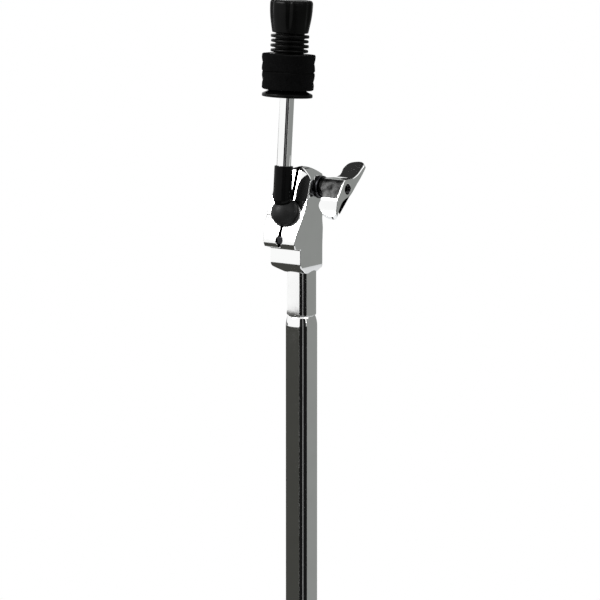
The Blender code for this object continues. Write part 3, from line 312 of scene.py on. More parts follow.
# %% [markdown]
# ## Finishes
# Plated steel is a mirror with faults: faint smears that dull it, a ripple left by polishing and
# hairline marks from use. Colour hardly changes, roughness changes a little, and the relief is a
# few thousandths of a millimetre deep.

# %% Chrome, steel and brass
def plated(name, colour, dull, ripple, edge=0.0, painted_darkness=None):
    """Polished plating, with a roughness of dull + smears + fine marks.

    An edge radius rounds the light on corners. The last argument, if given, is a function of the finish
    that tells from 0 to 1 where shade and dark reflections are painted: there the colour is painted near
    black, and the surface is also made rougher.
    """
    finish = Finish(bpy.data.materials.new(name))
    smear = finish.ramp(finish.noise(18 * MM, 4, 0.6), (0.42, 0), (0.72, 1))
    marks = finish.ramp(finish.noise(0.5 * MM, 2, 0.7, (1, 1, 0.06)), (0.55, 0), (0.75, 1))
    shade = finish.blend(smear, colour, [0.955 * c for c in colour])
    height = finish.noise(7 * MM, 2, 0.4) * 0.8 + marks * 0.2
    normal = finish.node("ShaderNodeBevel", {"samples": 6}, {"Radius": edge}) if edge else None
    rough = smear * 0.05 + marks * 0.03 + dull
    # Painted shade and dark reflection: where the mask is 1 the colour goes to near black 0.006, and the roughness
    # also rises by 0.3.
    if painted_darkness:
        dark = painted_darkness(finish)
        shade = finish.blend(dark, shade, (0.006, 0.006, 0.006))
        rough = rough + dark * 0.3
    sockets = {
        "Base Color": shade,
        "Metallic": 1.0,
        "Roughness": rough,
        "Normal": finish.bump(height, ripple, normal),
    }
    return principled(finish, sockets)


def from_bolt(finish):
    """Distance sideways, to the right, to the back and up from the middle of the clamp's bolt."""
    away = finish.node("ShaderNodeVectorMath", {"operation": "SUBTRACT"}, {0: finish.point(), 1: BOLT_AT})
    right, back, up = (finish.node("ShaderNodeSeparateXYZ", {}, {0: away}, part) for part in range(3))
    return finish.math("ABSOLUTE", right), right, back, up


def shade_beside_bolt(finish):
    """Painted shade and dark reflection where the nut, its washer and the boss meet: within 7.2 mm of the bolt's
    axis.
    """
    sideways, right, back, up = from_bolt(finish)
    near = back * back + up * up < (7.2 * MM) ** 2
    return (sideways > 12.8 * MM) * (sideways < 19 * MM) * near


def shade_inside_clamp(finish):
    """Painted shade and dark reflection inside the clamp: the slit, and the marked inner faces beside a bright
    middle.

    The slit is where |x| < 1.25 mm above the ledge. The bright middle is 2 mm + 7 mm (z / 10.8 mm)^3
    wide on each side, with z the height over the point 12 mm above the ball's centre.
    """
    sideways, right, back, up = from_bolt(finish)
    slit = (sideways < 1.25 * MM) * (up > -36.3 * MM)
    rise = finish.math("MAXIMUM", up + 3 * MM, 0.0) * (1 / (10.8 * MM))
    # The faces marked as inner walls, except a bright middle, take painted shade and the painted reflection of the
    # dark holder.
    marked = finish.node("ShaderNodeAttribute", {"attribute_name": "inside"}, {}, "Fac")
    # The slit's colour is painted shade for the gap between the jaws.
    dark = slit + marked * (rise ** 3 * (7 * MM) + 2 * MM < sideways)
    return finish.math("MINIMUM", dark + shade_beside_bolt(finish), 1.0)


def shade_at_wing_nut(finish):
    """Painted shade and dark reflection at the wing nut: the ring beside the bolt, and mottled near black before the
    hub.
    """
    sideways, right, back, up = from_bolt(finish)
    front = (back < -3.4 * MM) * (up > -4.7 * MM) * (right < 33.2 * MM)
    # Painted dark reflection before the hub: from 95 to 100 percent dark.
    dark_reflection_patches = finish.ramp(finish.noise(5 * MM), (0.38, 0.95), (0.62, 1.0))
    return finish.math("MINIMUM", shade_beside_bolt(finish) + front * dark_reflection_patches, 1.0)


PLATE = (0.95, 0.955, 0.95)
RIPPLE = 0.01 * MM
CHROME = plated("bright chrome", PLATE, 0.035, 0.4 * RIPPLE)
CAST_CHROME = plated("cast chrome", PLATE, 0.045, RIPPLE, 0.45 * MM)
# The clamp chrome and the wing chrome carry painted shade and painted dark reflections in their hollows and by the
# bolt.
CLAMP_CHROME_SHADED = plated("clamp chrome painted shade", PLATE, 0.045, RIPPLE, 0.45 * MM, shade_inside_clamp)
WING_CHROME_SHADED = plated("wing chrome painted shade", PLATE, 0.05, RIPPLE, 0.3 * MM, shade_at_wing_nut)
STEEL = plated("zinc steel", (0.42, 0.43, 0.43), 0.24, RIPPLE, 0.2 * MM)
DARK_STEEL = plated("dark steel", (0.035, 0.035, 0.038), 0.3, RIPPLE, 0.2 * MM)
BRASS = plated("turned brass", (0.62, 0.47, 0.22), 0.26, RIPPLE, 0.2 * MM)
print("plated finishes made")

# %% [markdown]
# Moulded nylon and plastic are near black. What shows is their skin: a fine grain from the mould,
# patches rubbed smoother by hands, and specks of dust. Felt has no gloss at all, only fibres.

# %% Nylon, plastic, rubber and felt
def moulded(name, colour, rough, grain, depth, gloss, dust=0.25):
    """Moulded skin: the colour and the roughness vary with wear and dust, grain gives the relief."""
    finish = Finish(bpy.data.materials.new(name))
    wear = finish.ramp(finish.noise(9 * MM, 4, 0.6), (0.35, 0), (0.7, 1))
    specks = finish.ramp(finish.noise(0.6 * MM, 2, 0.8), (0.68, 0), (0.8, 1))
    shade = finish.blend(wear * 0.6 + specks * dust, colour, [2.0 * c + 0.0015 for c in colour])
    height = finish.noise(grain, 4, 0.65)
    sockets = {
        "Base Color": shade,
        "Roughness": rough - wear * 0.1 + specks * 0.15,
        "Specular IOR Level": gloss,
        "Normal": finish.bump(height, depth),
    }
    return principled(finish, sockets)


def felted(name, colour):
    """Pressed wool: fibres in two sizes mottle the colour and roughen the relief."""
    finish = Finish(bpy.data.materials.new(name))
    fibres = finish.noise(0.35 * MM, 5, 0.75, (1, 1, 2.2))
    tufts = finish.noise(2.2 * MM, 4, 0.6)
    mottle = finish.ramp(fibres * 0.7 + tufts * 0.3, (0.4, 0), (0.65, 1))
    shade = finish.blend(mottle, colour, [3.2 * c for c in colour])
    sockets = {
        "Base Color": shade,
        "Roughness": 0.95,
        "Specular IOR Level": 0.0,
        "Sheen Weight": 0.015,
        "Sheen Roughness": 0.6,
        "Normal": finish.bump(fibres * 0.6 + tufts * 0.4, 0.5 * MM),
    }
    return principled(finish, sockets)


BLACK_PLASTIC = moulded("moulded plastic", (0.0014, 0.0014, 0.0013), 0.3, 0.25 * MM, 0.02 * MM, 0.07)
BLACK_NYLON = moulded("moulded nylon", (0.0015, 0.0015, 0.0015), 0.27, 0.3 * MM, 0.01 * MM, 0.07)
BALL_NYLON = moulded("grained nylon", (0.009, 0.009, 0.009), 0.45, 0.45 * MM, 0.09 * MM, 0.12, 0.7)
RUBBER = moulded("boot rubber", (0.012, 0.012, 0.012), 0.75, 0.5 * MM, 0.05 * MM, 0.3, 0.6)
FELT = felted("pressed felt", (0.0012, 0.0012, 0.0012))
print("moulded and felted finishes made")

# %% [markdown]
# ## Shapes
# Nearly everything here is one of three things: a profile turned round an axis, an outline pushed
# up into a plate, or a stack of cross-sections. All three are grids of points. The first helper
# takes the sharpness off the corners of an outline, since no cast or pressed edge is sharp.

# %% Rounded corners
def eased(corners, radius, steps=5, ring=False):
    """Outline whose corners become short curves.

    With a and b the points that lie the radius away from a corner c on its two sides, the curve is
    (1-s)^2 a + 2 s (1-s) c + s^2 b. On a short side the distance shrinks to under half the side.
    """
    c = np.array(corners, float)
    back = np.roll(c, 1, axis=0) - c
    ahead = np.roll(c, -1, axis=0) - c
    long_back = np.maximum(np.linalg.norm(back, axis=1), 1e-9)
    long_ahead = np.maximum(np.linalg.norm(ahead, axis=1), 1e-9)
    radius = np.broadcast_to(np.asarray(radius, float), long_back.shape)
    a = c + back * (np.minimum(radius, 0.49 * long_back) / long_back)[:, None]
    b = c + ahead * (np.minimum(radius, 0.49 * long_ahead) / long_ahead)[:, None]
    s = np.linspace(0, 1, steps)[None, :, None]
    curves = (1 - s) ** 2 * a[:, None] + 2 * s * (1 - s) * c[:, None] + s ** 2 * b[:, None]
    if ring:
        return curves.reshape(-1, 2)
    return np.concatenate([c[:1], curves[1:-1].reshape(-1, 2), c[-1:]])


def spaced(line, gap):
    """The same line with points no further apart than the gap."""
    line = np.asarray(line, float)
    far = np.concatenate([[0], np.cumsum(np.linalg.norm(np.diff(line, axis=0), axis=1))])
    extra = np.arange(0, far[-1], gap)
    stops = np.unique(np.round(np.concatenate([far, extra]), 9))
    return np.stack([np.interp(stops, far, line[:, i]) for i in range(line.shape[1])], 1)


def arc(centre, radius, start, end, count):
    """Points on a circle: centre + radius (cos t, sin t), with t in degrees."""
    t = np.radians(np.linspace(start, end, count))
    return np.stack([centre[0] + radius * np.cos(t), centre[1] + radius * np.sin(t)], 1)


print("outline helpers ready")

# %% Grids to meshes
def placed(points, at, x_axis, z_axis):
    """Points of a local frame moved to where the frame stands: at + x X + y Y + z Z."""
    z = np.array(Vector(z_axis).normalized())
    x = np.array(Vector(x_axis).normalized())
    x = x - z * (x @ z)
    x = x / np.linalg.norm(x)
    y = np.cross(z, x)
    return points @ np.stack([x, y, z]) + np.array(at)


def grid(name, points, ring=False):
    """Closed mesh from rows of points that each run round the piece.

    Point (i, j) joins (i, j+1), (i+1, j+1) and (i+1, j). The last point of a row joins its first.
    A ring's last row joins its first row, and otherwise flat caps close the first and last rows.
    """
    rows, columns = points.shape[:2]
    i, j = np.meshgrid(np.arange(rows if ring else rows - 1), np.arange(columns), indexing="ij")
    down = (i + 1) % rows
    across = (j + 1) % columns
    quads = np.stack([i * columns + j, i * columns + across, down * columns + across, down * columns + j], -1)
    faces = quads.reshape(-1, 4).tolist()
    if not ring:
        faces.append(list(range(columns)))
        faces.append(list(range((rows - 1) * columns, rows * columns)))
    mesh = bpy.data.meshes.new(name)
    mesh.from_pydata(points.reshape(-1, 3).tolist(), [], faces)
    shape = bmesh.new()
    shape.from_mesh(mesh)
    bmesh.ops.remove_doubles(shape, verts=shape.verts, dist=1e-7)
    bmesh.ops.recalc_face_normals(shape, faces=shape.faces)
    shape.to_mesh(mesh)
    shape.free()
    return mesh


def lathe(name, profile, at, axis, ring=False, steps=96, swell=None):
    """Turned piece: point = at + r (cos t X + sin t Y) + h axis, for each (r, h) of the profile.

    swell, if given, is a function of the angle and the profile that returns changed radii.
    """
    profile = np.asarray(profile, float)
    turn = np.linspace(0, 2 * np.pi, steps, endpoint=False)
    radius = np.repeat(profile[:, :1], steps, axis=1)
    height = np.repeat(profile[:, 1:], steps, axis=1)
    if swell:
        radius, height = swell(turn[None, :], radius, height)
    points = np.stack([radius * np.cos(turn), radius * np.sin(turn), height], -1)
    side = Vector((1, 0, 0)) if abs(Vector(axis).normalized().x) < 0.9 else Vector((0, 1, 0))
    return grid(name, placed(points, at, side, axis), ring)


def bar(name, radius, foot, top, at, axis, edge=0.3 * MM, steps=64):
    """Round bar between two heights with its ends eased."""
    profile = eased([(0, top), (radius, top), (radius, foot), (0, foot)], edge, 4)
    return lathe(name, profile, at, axis, steps=steps)


def tube(name, outer, inner, foot, top, at, axis, edge=0.3 * MM, steps=96):
    """Round ring or pipe between two heights with its rims eased."""
    loop = eased([(outer, top), (outer, foot), (inner, foot), (inner, top)], edge, 4, ring=True)
    return lathe(name, loop, at, axis, ring=True, steps=steps)


def plate(name, outline, thickness, edge, at, x_axis, z_axis, thin=None):
    """Plate with a rounded rim: drawn in by e (1 - sin a) at the height of each face - e (1 - cos a).

    thin, if given, is a function of the points that scales their height above the middle plane.
    """
    p = np.asarray(outline, float)
    ahead = np.roll(p, -1, axis=0) - np.roll(p, 1, axis=0)
    outward = np.stack([ahead[:, 1], -ahead[:, 0]], 1)
    outward /= np.maximum(np.linalg.norm(outward, axis=1), 1e-9)[:, None]
    area = np.sum(p[:, 0] * np.roll(p[:, 1], -1) - p[:, 1] * np.roll(p[:, 0], -1))
    outward *= np.sign(area)
    a = np.linspace(0, np.pi / 2, 5)
    draw = np.concatenate([edge * (1 - np.sin(a)), edge * (1 - np.sin(a[::-1]))])
    rise = thickness / 2 - edge * (1 - np.cos(a))
    rise = np.concatenate([rise, -rise[::-1]])
    flat = p[None] - draw[:, None, None] * outward[None]
    height = np.repeat(rise[:, None], len(p), axis=1)
    points = np.concatenate([flat, height[..., None]], -1)
    if thin:
        points[..., 2] *= thin(points)
    return grid(name, placed(points, at, x_axis, z_axis))


def block(name, size, edge, at, x_axis, z_axis):
    """Box with rounded edges: a plate over a rounded rectangle."""
    x, y, z = [s / 2 for s in size]
    outline = eased([(x, y), (-x, y), (-x, -y), (x, -y)], 2.2 * edge, 5, ring=True)
    return plate(name, outline, 2 * z, edge, at, x_axis, z_axis)


print("grid, lathe, plate and block ready")

# %% [markdown]
# A casting is one body with holes in it. Its parts are joined and cut with Booleans, and the
# result goes into the mesh. A piece is then a mesh with a finish that rides on a body and stands
# for one or more solids. Weighted normals keep broad faces flat beside their small round edges.

# %% Carving and placing
def carve(base, steps):
    """The base mesh after each (operation, mesh) in turn."""
    body = bpy.data.objects.new("blank", base)
    scene.collection.objects.link(body)
    tools = []
    for operation, mesh in steps:
        tool = bpy.data.objects.new("tool", mesh)
        scene.collection.objects.link(tool)
        tools.append(tool)
        change = body.modifiers.new("change", "BOOLEAN")
        change.operation = operation
        change.object = tool
        change.solver = "MANIFOLD"
    graph = bpy.context.evaluated_depsgraph_get()
    made = bpy.data.meshes.new_from_object(body.evaluated_get(graph))
    made.name = base.name
    for thing in [body, *tools]:
        bpy.data.objects.remove(thing)
    return made


def hole(radius, foot, top, at, axis, steps=40):
    """A step of carve that cuts a round hole between two heights."""
    return "DIFFERENCE", bar("hole", radius, foot, top, at, axis, 0.1 * MM, steps)


def piece(name, mesh, look, *nodes, sharp=38):
    """A finished piece in the place of one or more solids, on the body of the first of them."""
    mesh.materials.clear()
    mesh.materials.append(look)
    mesh.shade_smooth()
    mesh.set_sharp_from_angle(angle=math.radians(sharp))
    made = bpy.data.objects.new(name, mesh)
    scene.collection.objects.link(made)
    weighted = made.modifiers.new("flat faces", "WEIGHTED_NORMAL")
    weighted.keep_sharp = True
    weighted.weight = 80
    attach(made, BODY_OF[nodes[0]])
    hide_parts(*nodes)
    return made


print("carve and piece ready")

# %% [markdown]
# ## Tubes
# Three plated steel tubes slide in each other. Their rims are deburred. The top end of the top
# tube is drawn in round the neck of the tilter, which is what holds the tilter in it.

# %% The three tubes
UP = (0, 0, 1)
WALL = 1.0 * MM
FIT = 0.3 * MM
BASE_R, MIDDLE_R, TOP_R = 15.0 * MM, 12.7 * MM, 9.525 * MM
BASE_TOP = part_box("base_tube")[1].z
MIDDLE_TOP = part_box("middle_tube")[1].z
for node, radius in (("base_tube", BASE_R), ("middle_tube", MIDDLE_R)):
    low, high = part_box(node)
    mesh = tube(node, radius, radius - WALL, low.z, high.z, AXIS, UP, 0.35 * MM, 160)
    piece(node + "_plated", mesh, CHROME, node)
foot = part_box("top_tube")[0].z
DRAWN_IN = 1.6 * MM
crimp = [
    (TOP_R - DRAWN_IN - WALL, TUBE_END),
    (TOP_R - DRAWN_IN, TUBE_END),
    (TOP_R - 0.5 * DRAWN_IN, TUBE_END - 1.4 * MM),
    (TOP_R, TUBE_END - 4.9 * MM),
    (TOP_R, foot),
    (TOP_R - WALL, foot),
    (TOP_R - WALL, TUBE_END - 4.9 * MM),
]
outline = eased(crimp, [0.3 * MM, 0.7 * MM, 1.2 * MM, 1.6 * MM, 0.3 * MM, 0.3 * MM, 2 * MM], 8, ring=True)
piece("top_tube_plated", lathe("top_tube", outline, AXIS, UP, ring=True, steps=160), CHROME, "top_tube")
low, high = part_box("base_plug")
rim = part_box("base_tube")[0].z
plug = [
    (0, high.z),
    (BASE_R - WALL - FIT, high.z),
    (BASE_R - WALL - FIT, rim - FIT),
    (BASE_R, rim - FIT),
    (BASE_R - 2 * MM, low.z),
    (0, low.z),
]
piece("base_plug_moulded", lathe("base_plug", eased(plug, 0.8 * MM), AXIS, UP), BLACK_PLASTIC, "base_plug")
print("tubes end at", round(BASE_TOP, 4), round(MIDDLE_TOP, 4), round(TUBE_END, 4))

# %% [markdown]
# ## Tilter casting
# The clamp is two cast jaws round a ball, parted by a narrow slit. Both come from one shape: a
# stack of six-sided cross-sections whose width follows the front view and whose depth follows the
# side view. The ball's socket, the hollow that the rod swings in, the slit and the holes are then
# cut, and the shape is parted into the fixed half, which has the neck, and the moving half.

# %% Cross-sections of the casting
FRONT_SIDE = np.array([
    (7, -38), (17, -33), (17, -21.9), (22.7, -21.2), (24.2, -18), (22, -11), (20.2, -7), (15.3, 2),
    (10.8, 13), (9.4, 20), (2.0, 26.05),
]) * MM
BACK_SIDE = np.concatenate([
    np.array([(-7, -38), (-11.2, -34), (-11.2, -22), (-6.1, -4)]) * MM,
    arc((0, 15 * MM), 11.2 * MM, 195, 99.4, 24),
])
HALF_WIDTH = np.array([
    (7.9, -38), (11.2, -34), (11.2, -22), (12.4, -11), (13.2, -6), (13.7, 3), (13.3, 12), (13.3, 18),
    (12.2, 21), (7.5, 23.6), (3.5, 25.5), (1.2, 26.05),
]) * MM
CORNER_LIMIT = 17.39 * MM


def section_stack():
    """Rows of points at rising heights.

    Each row is a rectangle from the back line to the front line, as wide as the front view, with
    the back corners cut where x - forward passes the limit, and every corner eased.
    """
    front_radii = np.array([0, 2, 0.7, 0.6, 1.6, 2, 3, 4, 4, 2.5, 0]) * MM
    front = spaced(eased(FRONT_SIDE, front_radii, 6), 0.5 * MM)
    back = spaced(eased(BACK_SIDE, 2.5 * MM, 6), 0.3 * MM)
    width = spaced(eased(HALF_WIDTH, 2.5 * MM, 6), 0.3 * MM)
    z = front[:, 1]
    f = front[:, 0]
    b = np.interp(z, back[:, 1], back[:, 0])
    w = np.maximum(np.interp(z, width[:, 1], width[:, 0]), 0.01 * MM)
    b = np.minimum(b, f - 0.02 * MM)
    short = np.minimum(w, f - b)
    cut = np.clip(w - b - CORNER_LIMIT, 0.25 * short, 0.9 * short)
    corners = np.stack([
        np.stack([w, f], 1), np.stack([w, b + cut], 1), np.stack([w - cut, b], 1),
        np.stack([cut - w, b], 1), np.stack([-w, b + cut], 1), np.stack([-w, f], 1),
    ], 1)
    radii = np.array([0.9, 0.8, 2.2, 2.2, 0.8, 0.9]) * MM
    rows = np.stack([eased(row, radii, 6, ring=True) for row in corners])
    return np.concatenate([rows, np.repeat(z[:, None, None], rows.shape[1], axis=1)], -1)


FORWARD = Vector((0, -1, 0))
stack = section_stack()
world_stack = np.stack([stack[..., 0], -stack[..., 1], stack[..., 2]], -1) + np.array(CLAMP_AT)
print("casting:", stack.shape[0], "sections of", stack.shape[1], "points")

# %% Cut the casting
PIN_AT = CLAMP_AT + Vector((0, 0, -16.4 * MM))
BOSS_FACE = 13.9 * MM
ACROSS = (1, 0, 0)
BEHIND = (0, 1, 0)
SLIT = 1.6 * MM
LEDGE = -20.6 * MM
HOLLOW_LEAN = math.radians(19)
HOLLOW_UP = Vector((0, math.sin(HOLLOW_LEAN), math.cos(HOLLOW_LEAN)))
HOLLOW_BACK = Vector((0, HOLLOW_UP.z, -HOLLOW_UP.y))
HOLLOW_R = 28 * MM
HOLLOW_AT = AXIS + Vector((0, -8 * MM, BALL_LEVEL + 13 * MM)) - HOLLOW_R * HOLLOW_BACK
SEAT_R = 8.95 * MM
SOCKET = np.concatenate([[(0, 24), (13, 24), (13, 9.8), (11.1, 4)], arc((0, 0), 9.6, -12, -90, 25)]) * MM
SOCKET_SIDE = np.array([1, 0, 0])
SOCKET_UP = np.array(HOLLOW_UP)
SOCKET_BACK = np.cross(SOCKET_UP, SOCKET_SIDE)


def flared_sideways(turn, radius, height):
    """Swell of the socket: a close seat front and back that opens to the profile's radius sideways.

    radius = close + (profile - close) cos(t)^n, with n 2 in front and 6 behind.
    """
    lip = 0.6 * MM * np.clip(height / (4 * MM) - 0.5, 0, 1) * (np.sin(turn) < 0)
    close = np.where(height < 0, np.sqrt(np.maximum(SEAT_R ** 2 - height ** 2, 0)), SEAT_R + lip)
    close = np.minimum(radius, close)
    power = np.where(np.sin(turn) > 0, 6, 2)
    return close + (radius - close) * np.abs(np.cos(turn)) ** power, height


def on_inner_walls(points):
    """True for points that lie on the wall of the socket or of the hollow."""
    from_ball = points - np.array(BALL_AT)
    side, back, height = from_ball @ SOCKET_SIDE, from_ball @ SOCKET_BACK, from_ball @ SOCKET_UP
    profile_radius = np.interp(height, SOCKET[:0:-1, 1], SOCKET[:0:-1, 0])
    wall = flared_sideways(np.arctan2(back, side), profile_radius, height)[0]
    in_socket = (np.abs(np.hypot(side, back) - wall) < 0.25 * MM) & (height > -9.6 * MM)
    from_hollow = points - np.array(HOLLOW_AT)
    along = from_hollow @ SOCKET_UP
    far = np.linalg.norm(from_hollow - along[:, None] * SOCKET_UP, axis=1)
    in_hollow = (np.abs(far - HOLLOW_R) < 0.12 * MM) & (along > -7.1 * MM)
    floor_of_hollow = (np.abs(along + 7 * MM) < 0.1 * MM) & (far < HOLLOW_R + 0.1 * MM)
    return in_socket | in_hollow | floor_of_hollow


def mark_shaded_walls(mesh):
    """Marks the faces whose middle and corners all lie on the inner walls, where the clamp chrome paints shade."""
    centres = np.empty(3 * len(mesh.polygons))
    mesh.polygons.foreach_get("center", centres)
    corners = np.empty(3 * len(mesh.vertices))
    mesh.vertices.foreach_get("co", corners)
    first = np.empty(len(mesh.polygons), int)
    mesh.polygons.foreach_get("loop_start", first)
    vertex = np.empty(len(mesh.loops), int)
    mesh.loops.foreach_get("vertex_index", vertex)
    on_wall = on_inner_walls(corners.reshape(-1, 3))[vertex]
    marked = np.logical_and.reduceat(on_wall, first) & on_inner_walls(centres.reshape(-1, 3))
    # The clamp chrome reads this mark to paint shade and dark reflection on these faces.
    mark = mesh.attributes.new("inside", "FLOAT", "FACE")
    mark.data.foreach_set("value", marked.astype(np.float32))
    return int(marked.sum())


def whole_casting(name):
    """Both jaws and the neck in one, with every hollow cut."""
    neck = [
        (0, -34.8 * MM), (8.9 * MM, -34.8 * MM), (8.9 * MM, -64.4 * MM), (6.625 * MM, -64.4 * MM),
        (6.625 * MM, -68.4 * MM), (7.6 * MM, -76 * MM), (8.2 * MM, -77 * MM), (8.2 * MM, -92.7 * MM),
        (0, -92.7 * MM),
    ]
    socket = spaced(SOCKET, 0.6 * MM)
    seat = arc((0, 0), SEAT_R - 0.05 * MM, 90, -90, 65)
    return carve(grid(name, world_stack), [
        ("UNION", bar("boss", 6.6 * MM, -BOSS_FACE, BOSS_FACE, BOLT_AT, ACROSS, 0.4 * MM, 72)),
        ("UNION", lathe("neck", eased(neck, 0.3 * MM, 3), CLAMP_AT, UP, steps=96)),
        hole(2.7 * MM, -41 * MM, 43 * MM, PIN_AT, FORWARD, 50),
        ("DIFFERENCE", lathe("socket", socket, BALL_AT, HOLLOW_UP, swell=flared_sideways)),
        ("DIFFERENCE", lathe("seat", seat, BALL_AT, HOLLOW_UP)),
        ("DIFFERENCE", bar("hollow", HOLLOW_R, -7 * MM, 90 * MM, HOLLOW_AT, HOLLOW_UP, 0.5 * MM, 160)),
        hole(3.9 * MM, -60 * MM, 60 * MM, BOLT_AT, ACROSS, 48),
    ])


def room(name, x_low, x_high, z_low):
    """Cutting box over everything between two sideways places, above a height."""
    size = (x_high - x_low, 160 * MM, 160 * MM)
    at = CLAMP_AT + Vector(((x_low + x_high) / 2, 0, z_low + 80 * MM))
    return block(name, size, 0.05 * MM, at, ACROSS, UP)


jaw_room = room("jaw room", -90 * MM, SLIT / 2, LEDGE - 0.8 * MM)
fixed = carve(whole_casting("fixed jaw"), [("DIFFERENCE", jaw_room)])
hexagon = arc((0, 0), 9.6 * MM / math.sqrt(3), 0, 300, 6)
pocket_at = BOLT_AT + Vector((5.3 * MM / 2 - BOSS_FACE - 1 * MM, 0, 0))
moving = carve(whole_casting("moving jaw"), [
    ("INTERSECT", room("jaw share", -90 * MM, -SLIT / 2, LEDGE)),
    ("DIFFERENCE", plate("nut pocket", hexagon, 7.3 * MM, 0.05 * MM, pocket_at, FORWARD, ACROSS)),
])
print("inner faces:", mark_shaded_walls(fixed), "and", mark_shaded_walls(moving))
# Both jaws take the clamp chrome, with painted shade in the slit, socket and hollow and by the bolt.
piece("tilter_body_cast", fixed, CLAMP_CHROME_SHADED, "tilter_body", sharp=30)
piece("tilter_jaw_cast", moving, CLAMP_CHROME_SHADED, "tilter_jaw", sharp=30)
print("jaws:", len(fixed.polygons), "and", len(moving.polygons), "faces")

# %% [markdown]
# ## Wing nut and its screw
# A cast wing nut with two ears closes the jaws. Its side view, a hub with the upper ear bent
# back and the lower ear bent down, is pushed along the bolt, and the outline of the ears is cut
# out of that. The screw's end has a hexagon socket and sits a little inside the nut.

# %% Wing nut
NUT_FOOT = BOSS_FACE + 0.3 * MM + 1.5 * MM + 0.3 * MM
NUT_TURN = math.radians(52)
EAR_WAY = Vector((0, math.sin(NUT_TURN), math.cos(NUT_TURN)))
NUT_AT = BOLT_AT + Vector((NUT_FOOT, 0, 0))
NUT_LENGTH = 18 * MM
UPPER_EAR = np.array([
    (3.5, 0.8), (6.4, 4.2), (10.4, 6.2), (14.5, 5.2), (18.0, 4.2), (22.2, 6.2),
    (23.7, 12), (23.6, 15.8), (22.1, 18), (12, 18),
]) * MM
LOWER_EAR = np.array([
    (3.5, 0.8), (7.0, 4.4), (10.3, 6.9), (13.6, 4.5), (15.6, 4.5), (18.2, 7.6),
    (19.6, 13.0), (19.4, 16.6), (17.6, 18), (12, 18),
]) * MM
ears = np.concatenate([UPPER_EAR, LOWER_EAR[::-1] * np.array([-1, 1])])
ear_radii = np.array([1.5, 2, 3, 3, 3, 4, 3, 2, 2, 3])
ear_radii = np.concatenate([ear_radii, ear_radii[::-1]]) * MM
ear_outline = spaced(eased(ears, ear_radii, 8, ring=True), 0.7 * MM)
EAR_SECTION = np.array([
    (21.2, 16.6), (16.4, 11.0), (11.4, 7.4), (6.0, 5.6), (0, 5.7), (-3.5, 5.7), (-10.3, -4.6),
    (-11.0, -7.4), (-11.7, -11.8), (-14.2, -18.6), (-11.7, -18.6), (-9.4, -13.2), (-7.4, -10.2), (-5.4, -7.8),
    (-2.8, -6.5), (1.6, -5.4), (5.2, -3.0), (9.5, 1.1), (14.1, 4.9), (18.6, 9.4), (22.6, 14.6),
]) * MM
section = spaced(eased(EAR_SECTION, 3 * MM, 6, ring=True), 0.6 * MM)
ear_side = EAR_WAY.cross(Vector(ACROSS))
along_nut = NUT_AT + Vector((NUT_LENGTH / 2, 0, 0))
hub = eased([(0, NUT_LENGTH), (5.0 * MM, NUT_LENGTH), (5.7 * MM, 0), (0, 0)], [0, 0.8 * MM, 0.8 * MM, 0], 6)
nut_mesh = carve(plate("wing nut", section, NUT_LENGTH, 0.8 * MM, along_nut, BEHIND, ACROSS), [
    ("INTERSECT", plate("ears", ear_outline, 60 * MM, 0.1 * MM, NUT_AT, EAR_WAY, ear_side)),
    ("UNION", lathe("hub", hub, NUT_AT, ACROSS, steps=96)),
    ("DIFFERENCE", bar("nut bore", 3.3 * MM, -5 * MM, 30 * MM, NUT_AT, ACROSS, 0.05 * MM, 64)),
])
# The wing nut takes the wing chrome, with painted shade and dark reflection by the bolt and before its hub.
piece("wing_nut_cast", nut_mesh, WING_CHROME_SHADED, "wing_nut", sharp=40)

# %% [markdown]
# Threads are helical: the radius falls and rises once for each turn of the pitch. A turned piece
# whose radius depends on its angle as well as its height makes one.

# %% Screw, washer, pin and jaw nut
def thread(pitch, depth, low, high):
    """Swell for a lathe: radius - depth times a triangle wave, between two heights.

    The wave is one of height / pitch - turn, with the turn counted in whole turns.
    """
    def swell(turn, radius, height):
        phase = (height / pitch - turn / (2 * np.pi)) % 1.0
        cut = depth * np.abs(2 * phase - 1)
        inside = (height > low) & (height < high) & (radius > depth)
        return np.where(inside, radius - cut, radius), height
    return swell


def screw_profile(radius, foot, top, gap):
    """Profile of a round bar from its top to its foot, with points close enough for a thread."""
    return spaced([(0, top), (radius - 0.5 * MM, top), (radius, top - 0.5 * MM), (radius, foot), (0, foot)], gap)


SCREW_END = NUT_FOOT + NUT_LENGTH - 1.5 * MM
shank = lathe(
    "screw", screw_profile(3 * MM, -BOSS_FACE, SCREW_END, 0.25 * MM), BOLT_AT, ACROSS, steps=48,
    swell=thread(1.0 * MM, 0.45 * MM, -BOSS_FACE + 0.3 * MM, SCREW_END - 4.2 * MM),
)
key = arc((0, 0), 3.4 * MM / math.sqrt(3), 0, 300, 6)
key_at = BOLT_AT + Vector((SCREW_END - 3.5 * MM / 2, 0, 0))
shank = carve(shank, [("DIFFERENCE", plate("key", key, 7 * MM, 0.02 * MM, key_at, FORWARD, ACROSS))])
piece("clamp_screw_threaded", shank, DARK_STEEL, "clamp_screw")
washer_foot = BOSS_FACE + 0.3 * MM
mesh = tube("washer", 6.6 * MM, 3.3 * MM, washer_foot, washer_foot + 1.5 * MM, BOLT_AT, ACROSS, 0.35 * MM)
piece("clamp_washer_turned", mesh, DARK_STEEL, "clamp_washer")
low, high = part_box("jaw_pin")
front, back = low.y - AXIS.y, high.y - AXIS.y
pin_profile = eased([(0, back), (2.4 * MM, back), (2.4 * MM, front), (0, front)], 0.5 * MM)
mesh = lathe("jaw pin", pin_profile, PIN_AT, BEHIND, steps=64)
piece("jaw_pin_turned", mesh, DARK_STEEL, "jaw_pin")


